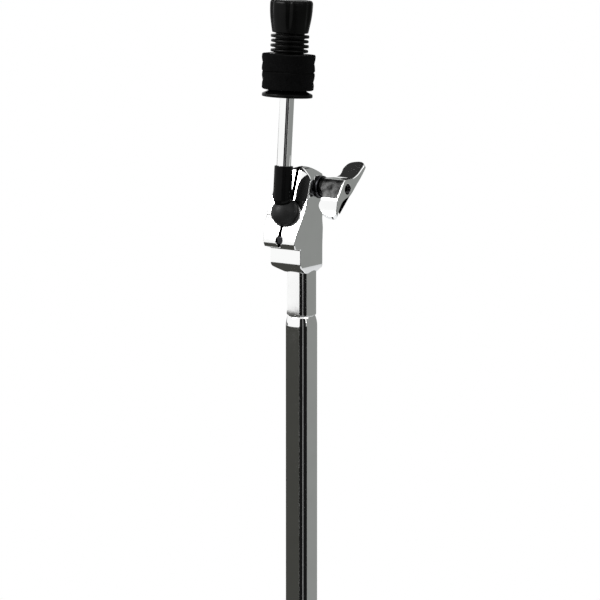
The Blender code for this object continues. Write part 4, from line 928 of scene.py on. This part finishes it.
def hexagon_nut(node, across_flats, bore, axis):
    """Hexagon nut with its corners chamfered by a turned cone, and a bore."""
    low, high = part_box(node)
    centre = (low + high) / 2
    thickness = abs((high - low).dot(Vector(axis)))
    outline = arc((0, 0), across_flats / math.sqrt(3), 0, 300, 6)
    far = across_flats / math.sqrt(3) + 0.02 * MM
    cone = eased([(0, 0.5), (0.86, 0.5), (1, 0.36), (1, -0.36), (0.86, -0.5), (0, -0.5)], 0.02, 3)
    cone = lathe("cone", cone * np.array([far, thickness]), centre, axis, steps=72)
    side = FORWARD if abs(Vector(axis).x) > 0.5 else Vector(ACROSS)
    body = plate(node, outline, thickness, 0.05 * MM, centre, side, axis)
    return carve(body, [("INTERSECT", cone), hole(bore, -thickness, thickness, centre, axis)])


piece("clamp_nut_turned", hexagon_nut("clamp_nut", 9 * MM, 3.9 * MM, ACROSS), STEEL, "clamp_nut", sharp=30)
print("screw ends", round(SCREW_END / MM, 1), "mm from the middle")

# %% [markdown]
# ## Ball, holder and rod
# The rod is set in a nylon sleeve, the sleeve in a ball. The ball's skin is lightly grained, so
# the jaws can grip it. The upper end of the rod is threaded for the nut.

# %% Ball, holder and rod
HOLDER_TOP = 28.4 * MM
SEAT_AT = 69.7 * MM
upper = [
    (0, 8 * MM), (4.6 * MM, 8 * MM), (4.6 * MM, HOLDER_TOP), (5.65 * MM, HOLDER_TOP), (5.65 * MM, 12 * MM),
]
corner = arc((1.05 * MM, 8.8 * MM), 4.6 * MM, 0, -90, 14)
sleeve = np.concatenate([eased(upper, 0.35 * MM, 4), corner, [(0, 4.2 * MM)]])
piece("rod_holder_moulded", lathe("rod holder", sleeve, ROD_AT, ROD_UP), BLACK_NYLON, "rod_holder")
room_for_sleeve = np.concatenate([
    [(0, 29 * MM), (5.95 * MM, 29 * MM)], arc((1.05 * MM, 8.8 * MM), 4.9 * MM, 0, -90, 14), [(0, 3.9 * MM)],
])
ball = carve(lathe("ball", arc((0, 0), 8.65 * MM, 90, -90, 65), BALL_AT, ROD_UP, steps=128), [
    ("DIFFERENCE", lathe("room for sleeve", room_for_sleeve, ROD_AT, ROD_UP)),
])
piece("tilter_ball_grained", ball, BALL_NYLON, "tilter_ball")
THREAD_END = SEAT_AT + 0.3 * MM + 4.2 * MM + 0.3 * MM + 2 * 10.7 * MM + 14.5 * MM + 12.6 * MM
rod = spaced([
    (0, THREAD_END), (3.4 * MM, THREAD_END), (3.9 * MM, THREAD_END - 0.5 * MM), (3.9 * MM, SEAT_AT),
    (4.3 * MM, SEAT_AT), (4.3 * MM, 8 * MM), (0, 8 * MM),
], 0.28 * MM)
swell = thread(1.25 * MM, 0.5 * MM, SEAT_AT + 6 * MM, THREAD_END)
rod_mesh = lathe("rod", rod, ROD_AT, ROD_UP, steps=72, swell=swell)
piece("cymbal_rod_plated", rod_mesh, CHROME, "cymbal_rod")
print("rod", round((THREAD_END - 8 * MM) / MM, 1), "mm long")

# %% [markdown]
# ## Seat and felts
# A dished washer carries two thick felts, and a nylon sleeve keeps them off the thread. Felt is
# pressed wool: its edges are soft, it bulges where the nut squeezes it, and its skin is rough.
# The bulges are slow waves round the felt, and the rough skin is a finer, seeded scatter.

# %% Seat washer and sleeve
seat = [
    (4.2, 4.5), (11.0, 4.5), (12.2, 3.6), (15.0, 2.4), (15.3, 2.0), (15.3, 0.5),
    (14.9, 0.3), (10, 0.3), (9, 0.9), (4.2, 0.9),
]
seat = np.array(seat) * MM + np.array([0, SEAT_AT])
seat_loop = eased(seat, 0.5 * MM, 5, ring=True)
mesh = lathe("seat washer", seat_loop, ROD_AT, ROD_UP, ring=True)
piece("seat_washer_moulded", mesh, BLACK_PLASTIC, "seat_washer")
FELT_FOOT = SEAT_AT + 4.8 * MM
FELT_TOP = FELT_FOOT + 21.4 * MM
mesh = tube("seat sleeve", 6 * MM, 4.2 * MM, FELT_FOOT, FELT_TOP - 2 * MM, ROD_AT, ROD_UP, 0.3 * MM)
piece("seat_sleeve_moulded", mesh, BLACK_NYLON, "seat_sleeve")
print("felts from", round(FELT_FOOT / MM, 1), "to", round(FELT_TOP / MM, 1), "mm along the rod")

# %% Felts
def felt_waves(seed, centre_height):
    """Swell for a felt: slow waves of up to 0.5 mm round it, a tuck at mid-height and a rough skin."""
    draw = np.random.default_rng(seed)
    phases = draw.uniform(0, 2 * np.pi, 5)
    sizes = np.array([0.22, 0.16, 0.12, 0.09, 0.06]) * MM

    def swell(turn, radius, height):
        waves = sum(
            size * np.sin((k + 2) * turn + phase + 90 * (height - centre_height) * (k + 1))
            for k, (size, phase) in enumerate(zip(sizes, phases))
        )
        skin = draw.normal(0, 0.07 * MM, radius.shape)
        outside = np.clip((radius - 11 * MM) / (4 * MM), 0, 1)
        tuck = -0.45 * MM * np.exp(-(((height - centre_height) / (1.6 * MM)) ** 2))
        lift = 0.12 * MM * np.sin(3 * turn + phases[0]) * outside
        return radius + outside * (waves + tuck + skin), height + lift + 0.4 * skin
    return swell


for seed, node, foot in ((7, "lower_felt", FELT_FOOT), (11, "upper_felt", FELT_FOOT + 10.7 * MM)):
    top = foot + 10.7 * MM
    loop = [(15.8 * MM, top), (15.9 * MM, foot + 5 * MM), (15.8 * MM, foot), (6.3 * MM, foot), (6.3 * MM, top)]
    loop = spaced(eased(loop, [1.1 * MM, 3 * MM, 1.1 * MM, 0.4 * MM, 0.4 * MM], 7, ring=True), 0.35 * MM)
    mesh = lathe(node, loop, ROD_AT, ROD_UP, ring=True, steps=220, swell=felt_waves(seed, foot + 5.2 * MM))
    felt = piece(node + "_pressed", mesh, FELT, node, sharp=180)
print("two felts")

# %% [markdown]
# ## Cymbal nut
# A moulded nut: a head that flares and has six shallow grooves for the fingers, over a neck of
# five ribs. The first, third and fifth rib are square and the others round, as a spring cover is.

# %% Cymbal nut
HEAD_FOOT = FELT_TOP + 12.6 * MM
HEAD_TOP = HEAD_FOOT + 19.9 * MM
PITCH = 2.9 * MM


def nut_outline():
    """Outer side from the top's centre down: a domed top, the flare, the ribs and the foot."""
    head = [
        (0, HEAD_TOP - 0.1 * MM), (9 * MM, HEAD_TOP), (12.95 * MM, HEAD_TOP), (12.8 * MM, HEAD_TOP - 9 * MM),
        (10.9 * MM, HEAD_FOOT + 0.2 * MM),
    ]
    radii = [0, 2, 2.6, 6, 0.5]
    ribs = []
    for number in range(5):
        high = HEAD_FOOT - number * PITCH
        square = number % 2 == 0
        reach = 11.6 * MM if square else 11.4 * MM
        low = max(high - 0.95 * PITCH, FELT_TOP + 0.1 * MM)
        ribs += [(8.8 * MM, high), (8.8 * MM, high - 0.3 * PITCH), (reach, high - 0.38 * PITCH), (reach, low)]
        radii += [0.3, 0.3, 0.45 if square else 0.8, 0.45 if square else 0.8]
    ribs += [(10.4 * MM, FELT_TOP), (4.5 * MM, FELT_TOP), (4.5 * MM, FELT_TOP + 3 * MM)]
    radii += [0.3, 0.3, 0.2]
    inside = [(6.5 * MM, FELT_TOP + 3 * MM), (6.5 * MM, FELT_TOP + 21.3 * MM), (4.5 * MM, FELT_TOP + 21.3 * MM)]
    inside += [(4.5 * MM, THREAD_END + 1 * MM), (0, THREAD_END + 1 * MM)]
    radii += [0.2, 0.2, 0.2, 0.2, 0]
    return spaced(eased(head + ribs + inside, np.array(radii) * MM, 6), 0.5 * MM)


def finger_grooves(turn, radius, height):
    """Swell of the head: six grooves 1 mm deep between gently bulged panels, fading out at the ribs."""
    share = np.clip((height - HEAD_FOOT) / (9 * MM), 0, 1) * np.clip((radius - 8.5 * MM) / (2 * MM), 0, 1)
    share = share * (0.55 + 0.45 * np.clip((height - HEAD_FOOT) / (18 * MM), 0, 1))
    wave = (turn * 6 / (2 * np.pi) - 0.5) % 1.0 - 0.5
    groove = np.exp(-((wave / 0.11) ** 2))
    panel = -0.35 * (2 * wave) ** 2
    return radius + share * MM * (0.25 + panel - 1.0 * groove), height


nut_shape = lathe("cymbal nut", nut_outline(), ROD_AT, ROD_UP, steps=240, swell=finger_grooves)
piece("cymbal_nut_moulded", nut_shape, BLACK_PLASTIC, "cymbal_nut", sharp=50)
insert = tube("nut insert", 6.2 * MM, 4.2 * MM, FELT_TOP + 3.3 * MM, FELT_TOP + 21 * MM, ROD_AT, ROD_UP, 0.2 * MM)
piece("nut_insert_turned", insert, BRASS, "nut_insert")
print("nut", round((HEAD_TOP - FELT_TOP) / MM, 1), "mm tall")

# %% [markdown]
# ## Height clamps and memory locks
# A split ring sits on the end of each outer tube, and a wing bolt draws its two ears together. A
# nylon bush inside it guides the inner tube. The lock above it is a smaller split ring that keeps
# its height on the inner tube, so the stand opens to the same height again. It is pinched by a
# screw with a square head.

# %% Split rings
BOLT_R = 3.0 * MM


def split_ring(node, wall, ear_half, ear_height, ear_reach):
    """Cast ring with two ears behind it, a slit between the ears and a hole across them."""
    low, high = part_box(node)
    outer = (high.x - low.x) / 2
    far = high.y - AXIS.y
    foot, top = low.z, high.z
    band, waist = 3.2 * MM, 0.5 * MM
    profile = [
        (0, top), (outer, top), (outer, top - band), (outer - waist, top - band - waist),
        (outer - waist, foot + band + waist), (outer, foot + band), (outer, foot), (0, foot),
    ]
    level = AXIS + Vector((0, 0, (foot + top) / 2))
    near = outer - wall / 2
    up = ear_height / 2
    corners = [(far, up), (near, up), (near, -up), (far, -up)]
    ear = eased(corners, np.array([4.5, 0.2, 0.2, 4.5]) * MM, 8, ring=True)
    slit_size = (2.4 * MM, far + 10 * MM, 2 * (top - foot))
    slit_at = level + Vector((0, (far + 10 * MM) / 2, 0))
    bolt_at = level + Vector((0, far - ear_reach / 2, 0))
    return bolt_at, carve(lathe(node, eased(profile, 0.8 * MM, 5), AXIS, UP, steps=128), [
        ("UNION", plate("ears", ear, 2 * ear_half, 1.2 * MM, level, BEHIND, ACROSS)),
        hole(outer - wall, foot - 5 * MM, top + 5 * MM, AXIS, UP, 128),
        ("DIFFERENCE", block("slit", slit_size, 0.05 * MM, slit_at, ACROSS, UP)),
        hole(BOLT_R + FIT, -3 * ear_half, 3 * ear_half, bolt_at, ACROSS),
    ])


def wing_bolt(node, head_at, way, wing_way, reach):
    """Threaded bolt whose head is a turned hub with two cast wings, flat in the plane of both ways."""
    hub = [(0, 18), (4.9, 18), (5.2, 13), (5.5, 4.5), (6.2, 3.2), (6.2, 0), (0, 0)]
    hub = eased(np.array(hub) * MM, np.array([0, 1.2, 2, 1, 0.6, 0.4, 0]) * MM, 6)
    wings = np.concatenate([
        arc((12, 17), 6, -60, 120, 20), [(0, 16)], arc((-12, 17), 6, 60, 240, 20), [(0, 4.5)],
    ]) * MM
    wings = spaced(np.concatenate([wings, wings[:1]]), 0.8 * MM)[:-1]
    shank = spaced([(0, 9 * MM), (BOLT_R, 9 * MM), (BOLT_R, -reach), (0, -reach)], 0.25 * MM)
    normal = Vector(wing_way).cross(Vector(way))
    swell = thread(1.0 * MM, 0.4 * MM, -reach, -1 * MM)
    return carve(lathe(node, hub, head_at, way, steps=72), [
        ("UNION", plate("wings", wings, 4 * MM, 1.1 * MM, head_at, wing_way, normal, wing_taper)),
        ("UNION", lathe("shank", shank, head_at, way, steps=40, swell=swell)),
    ])


def wing_taper(points):
    """Thickness share of a wing: 1 at the hub, falling evenly to 0.75 at the tip."""
    return 1 - 0.25 * np.clip(np.abs(points[..., 0]) / (18 * MM), 0, 1)


SECTIONS = (("base", BASE_R, MIDDLE_R, BASE_TOP), ("middle", MIDDLE_R, TOP_R, MIDDLE_TOP))
for prefix, outer, inner, tube_top in SECTIONS:
    bolt_at, mesh = split_ring(prefix + "_clamp", 4.2 * MM, 7.2 * MM, 18 * MM, 15 * MM)
    piece(prefix + "_clamp_cast", mesh, CAST_CHROME, prefix + "_clamp", sharp=30)
    head_at = bolt_at + Vector((7.2 * MM + FIT, 0, 0))
    mesh = wing_bolt(prefix + "_wing_bolt", head_at, ACROSS, BEHIND, 21.4 * MM)
    piece(prefix + "_wing_bolt_cast", mesh, CAST_CHROME, prefix + "_wing_bolt")
    node = prefix + "_clamp_nut"
    piece(node + "_turned", hexagon_nut(node, 10 * MM, BOLT_R + FIT, ACROSS), STEEL, node, sharp=30)
    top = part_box(prefix + "_clamp")[1].z
    bush = [
        (outer + 2.7 * MM, top + 2.3 * MM), (outer + 2.7 * MM, top + FIT), (outer, top + FIT),
        (outer, tube_top + FIT), (outer - WALL - FIT, tube_top + FIT), (outer - WALL - FIT, tube_top - 30 * MM),
        (inner + FIT, tube_top - 30 * MM), (inner + FIT, top + 2.3 * MM),
    ]
    radii = np.array([0.8, 0.5, 0.2, 0.2, 0.2, 0.5, 0.5, 0.5]) * MM
    mesh = lathe("bush", eased(bush, radii, 5, ring=True), AXIS, UP, ring=True)
    piece(prefix + "_bush_moulded", mesh, BLACK_NYLON, prefix + "_bush")
    screw_at, mesh = split_ring(prefix + "_lock", 4.5 * MM, 5.7 * MM, 11 * MM, 9 * MM)
    piece(prefix + "_lock_cast", mesh, CAST_CHROME, prefix + "_lock", sharp=30)
    head = 6.0 * MM
    screw = spaced([
        (0, head + MM), (4.8 * MM, head + MM), (4.8 * MM, head), (BOLT_R, head), (BOLT_R, -5.7 * MM), (0, -5.7 * MM),
    ], 0.25 * MM)
    swell = thread(1.0 * MM, 0.4 * MM, -5.7 * MM, 3 * MM)
    key_at = screw_at + Vector((head + 4 * MM, 0, 0))
    key = block("key", (5 * MM, 5 * MM, 8 * MM), 0.5 * MM, key_at, BEHIND, ACROSS)
    mesh = carve(lathe("key screw", screw, screw_at, ACROSS, steps=48, swell=swell), [("UNION", key)])
    piece(prefix + "_lock_screw_turned", mesh, STEEL, prefix + "_lock_screw", sharp=30)
print("two clamps and two locks")

# %% [markdown]
# ## Tripod
# The legs hang from a collar that slides on the base tube, and three braces tie them to a hub at
# the tube's foot. Each leg is a pair of steel straps with the brace between them, held apart by a
# spacer and ending in a rubber boot. Collar and hub are castings with a lug for each leg.

# %% Collar and hub
PIVOT_R = 27 * MM
PIN_R = 2.5 * MM
COLLAR_R = 20.4 * MM
HEADINGS = {number: math.radians(heading) for number, heading in ((1, -90), (2, 30), (3, 150))}
OUTWARD = {number: Vector((math.cos(a), math.sin(a), 0)) for number, a in HEADINGS.items()}
SIDEWAYS = {number: Vector((-math.sin(a), math.cos(a), 0)) for number, a in HEADINGS.items()}


def banded(node):
    """Blank of a turned ring: full radius in a band at each end and a shallow waist between."""
    low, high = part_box(node)
    band, waist = 4 * MM, 0.6 * MM
    profile = [
        (0, high.z), (COLLAR_R, high.z), (COLLAR_R, high.z - band), (COLLAR_R - waist, high.z - band - waist),
        (COLLAR_R - waist, low.z + band + waist), (COLLAR_R, low.z + band), (COLLAR_R, low.z), (0, low.z),
    ]
    return lathe(node, eased(profile, 0.9 * MM, 5), AXIS, UP, steps=144)


def lug(number, far, half_height, level):
    """Lug of a casting that runs out to a rounded end, upright and 8.4 mm thick."""
    near = COLLAR_R - 3 * MM
    corners = [(far, half_height), (near, half_height), (near, -half_height), (far, -half_height)]
    end = 0.9 * half_height
    outline = eased(corners, [end, 0.2 * MM, 0.2 * MM, end], 8, ring=True)
    return plate("lug", outline, 8.4 * MM, 1.0 * MM, level, OUTWARD[number], -SIDEWAYS[number])


level = AXIS + Vector((0, 0, middle("leg_1_pivot_pin").z))
hub_level = AXIS + Vector((0, 0, middle("brace_1_hub_pin").z))
boss_reach = COLLAR_R + 7 * MM
steps = [("UNION", lug(number, PIVOT_R + 6 * MM, 6 * MM, level)) for number in HEADINGS]
steps.append(("UNION", bar("boss", 7.5 * MM, 18 * MM, boss_reach, level, BEHIND, 0.8 * MM, 64)))
steps.append(hole(17.0 * MM, -40 * MM, 40 * MM, level, UP, 144))
steps.append(hole(BOLT_R + FIT, 1 * MM, 60 * MM, level, BEHIND))
for number in HEADINGS:
    at = level + PIVOT_R * OUTWARD[number]
    steps.append(hole(PIN_R + FIT, -9 * MM, 9 * MM, at, SIDEWAYS[number]))
piece("leg_collar_cast", carve(banded("leg_collar"), steps), CAST_CHROME, "leg_collar", sharp=30)
low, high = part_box("collar_liner")
liner = carve(tube("liner", 16.7 * MM, 15.3 * MM, low.z, high.z, AXIS, UP, 0.3 * MM, 128), [
    hole(BOLT_R + FIT, 1 * MM, 60 * MM, level, BEHIND),
])
piece("collar_liner_moulded", liner, BLACK_NYLON, "collar_liner")
head_at = level + Vector((0, boss_reach + FIT, 0))
mesh = wing_bolt("collar_wing_bolt", head_at, BEHIND, UP, boss_reach - BASE_R)
piece("collar_wing_bolt_cast", mesh, CAST_CHROME, "collar_wing_bolt")

steps = [("UNION", lug(number, PIVOT_R + 5 * MM, 5 * MM, hub_level)) for number in HEADINGS]
steps.append(hole(BASE_R + FIT, -40 * MM, 40 * MM, hub_level, UP, 144))
for number in HEADINGS:
    fork_floor = PIVOT_R - 5 * MM - 2 * FIT
    at = hub_level + (fork_floor + 20 * MM) * OUTWARD[number]
    fork = block("fork", (40 * MM, 3.6 * MM, 60 * MM), 0.05 * MM, at, OUTWARD[number], UP)
    steps.append(("DIFFERENCE", fork))
    at = hub_level + PIVOT_R * OUTWARD[number]
    steps.append(hole(PIN_R + FIT, -9 * MM, 9 * MM, at, SIDEWAYS[number]))
piece("brace_hub_cast", carve(banded("brace_hub"), steps), CAST_CHROME, "brace_hub", sharp=30)
print("collar at", round(level.z / MM, 1), "mm, hub at", round(hub_level.z / MM, 1), "mm")

# %% Legs, feet and braces
LEG_TILT = math.radians(50)
LEG_LENGTH = (level.z - 9 * MM) / math.cos(LEG_TILT)
STRAP_LEVEL = 5.5 * MM
OUTSIDE = 6.5 * MM


def strap(name, length, half_width, thickness, holes, at, along, side):
    """Flat bar with round ends and rolled edges: starts half a width before the first hole."""
    ends = [arc((0, 0), half_width, 90, 270, 28), arc((length - half_width, 0), half_width, -90, 90, 28)]
    outline = spaced(np.concatenate([*ends, ends[0][:1]]), 6 * MM)[:-1]
    body = plate(name, outline, thickness, 0.3 * thickness, at, along, side)
    return carve(body, [hole(PIN_R + FIT, -6 * MM, 6 * MM, at + far * along, side) for far in holes])


def rivet(name, waist, at, side):
    """Rivet with a low domed head at both ends, and a thicker waist if given: its radius and half length."""
    head, outside = 1.7 * PIN_R, OUTSIDE + FIT
    half = [
        (0, outside + 1.2 * MM), (0.7 * head, outside + 1.1 * MM), (head, outside + 0.5 * MM),
        (head, outside), (PIN_R, outside),
    ]
    if waist:
        half += [(PIN_R, waist[1]), (waist[0], waist[1])]
    half = np.array(half)
    profile = np.concatenate([half, half[::-1] * np.array([1, -1])])
    return lathe(name, eased(profile, 0.25 * MM, 4), at, side, steps=48)


def boot(name, at, along, side):
    """Rubber boot on the ends of the straps: a dome, a taper with three grip rings, flat underneath."""
    dome = arc((0, 0), 11 * MM, 90, 0, 20)
    rings = []
    for step in range(3):
        high = -6 * MM - 6 * MM * step
        rings += [(10.7 * MM, high), (10.1 * MM, high - 1 * MM)]
        rings += [(10.1 * MM, high - 2.6 * MM), (10.6 * MM, high - 3.6 * MM)]
    profile = np.concatenate([dome, rings, [(10 * MM, -30 * MM), (0, -30 * MM)]])
    pocket_at = at - 15.35 * MM * along
    under = Vector((at.x, at.y, -30 * MM))
    return carve(lathe(name, eased(profile, 0.8 * MM, 4), at, along, steps=96), [
        ("DIFFERENCE", block("pocket", (31.3 * MM, 12.6 * MM, 13.6 * MM), 0.2 * MM, pocket_at, along, side)),
        ("DIFFERENCE", block("floor", (200 * MM, 200 * MM, 60 * MM), 0.1 * MM, under, ACROSS, UP)),
    ])


for number in HEADINGS:
    out, side = OUTWARD[number], SIDEWAYS[number]
    leg = f"leg_{number}_"
    pivot = level + PIVOT_R * out
    along = math.sin(LEG_TILT) * out - math.cos(LEG_TILT) * Vector(UP)
    spacer_at = (middle(leg + "spacer") - pivot).dot(along)
    for hand, way in (("left_strap", -1), ("right_strap", 1)):
        at = pivot + way * STRAP_LEVEL * side
        mesh = strap(leg + hand, LEG_LENGTH, 6 * MM, 2 * MM, (0, 180 * MM, spacer_at), at, along, side)
        piece(leg + hand + "_plated", mesh, CHROME, leg + hand)
    piece(leg + "pivot_pin_turned", rivet("pin", None, pivot, side), STEEL, leg + "pivot_pin")
    mesh = rivet("spacer", (PIN_R + MM, 4.2 * MM), pivot + spacer_at * along, side)
    piece(leg + "spacer_turned", mesh, STEEL, leg + "spacer")
    mesh = boot(leg + "foot", pivot + LEG_LENGTH * along, along, side)
    piece(leg + "foot_moulded", mesh, RUBBER, leg + "foot")
    brace = f"brace_{number}"
    hinge = middle(brace + "_hub_pin")
    reach = middle(brace + "_leg_pin") - hinge
    span = reach.length
    mesh = strap(brace, span + 5 * MM, 5 * MM, 3 * MM, (0, span), hinge, reach.normalized(), side)
    piece(brace + "_plated", mesh, CHROME, brace)
    for end in ("_hub_pin", "_leg_pin"):
        mesh = bar(brace + end, PIN_R, -4.2 * MM, 4.2 * MM, middle(brace + end), side, 0.4 * MM, 48)
        piece(brace + end + "_turned", mesh, STEEL, brace + end)
print("three legs of", round(LEG_LENGTH / MM, 1), "mm")
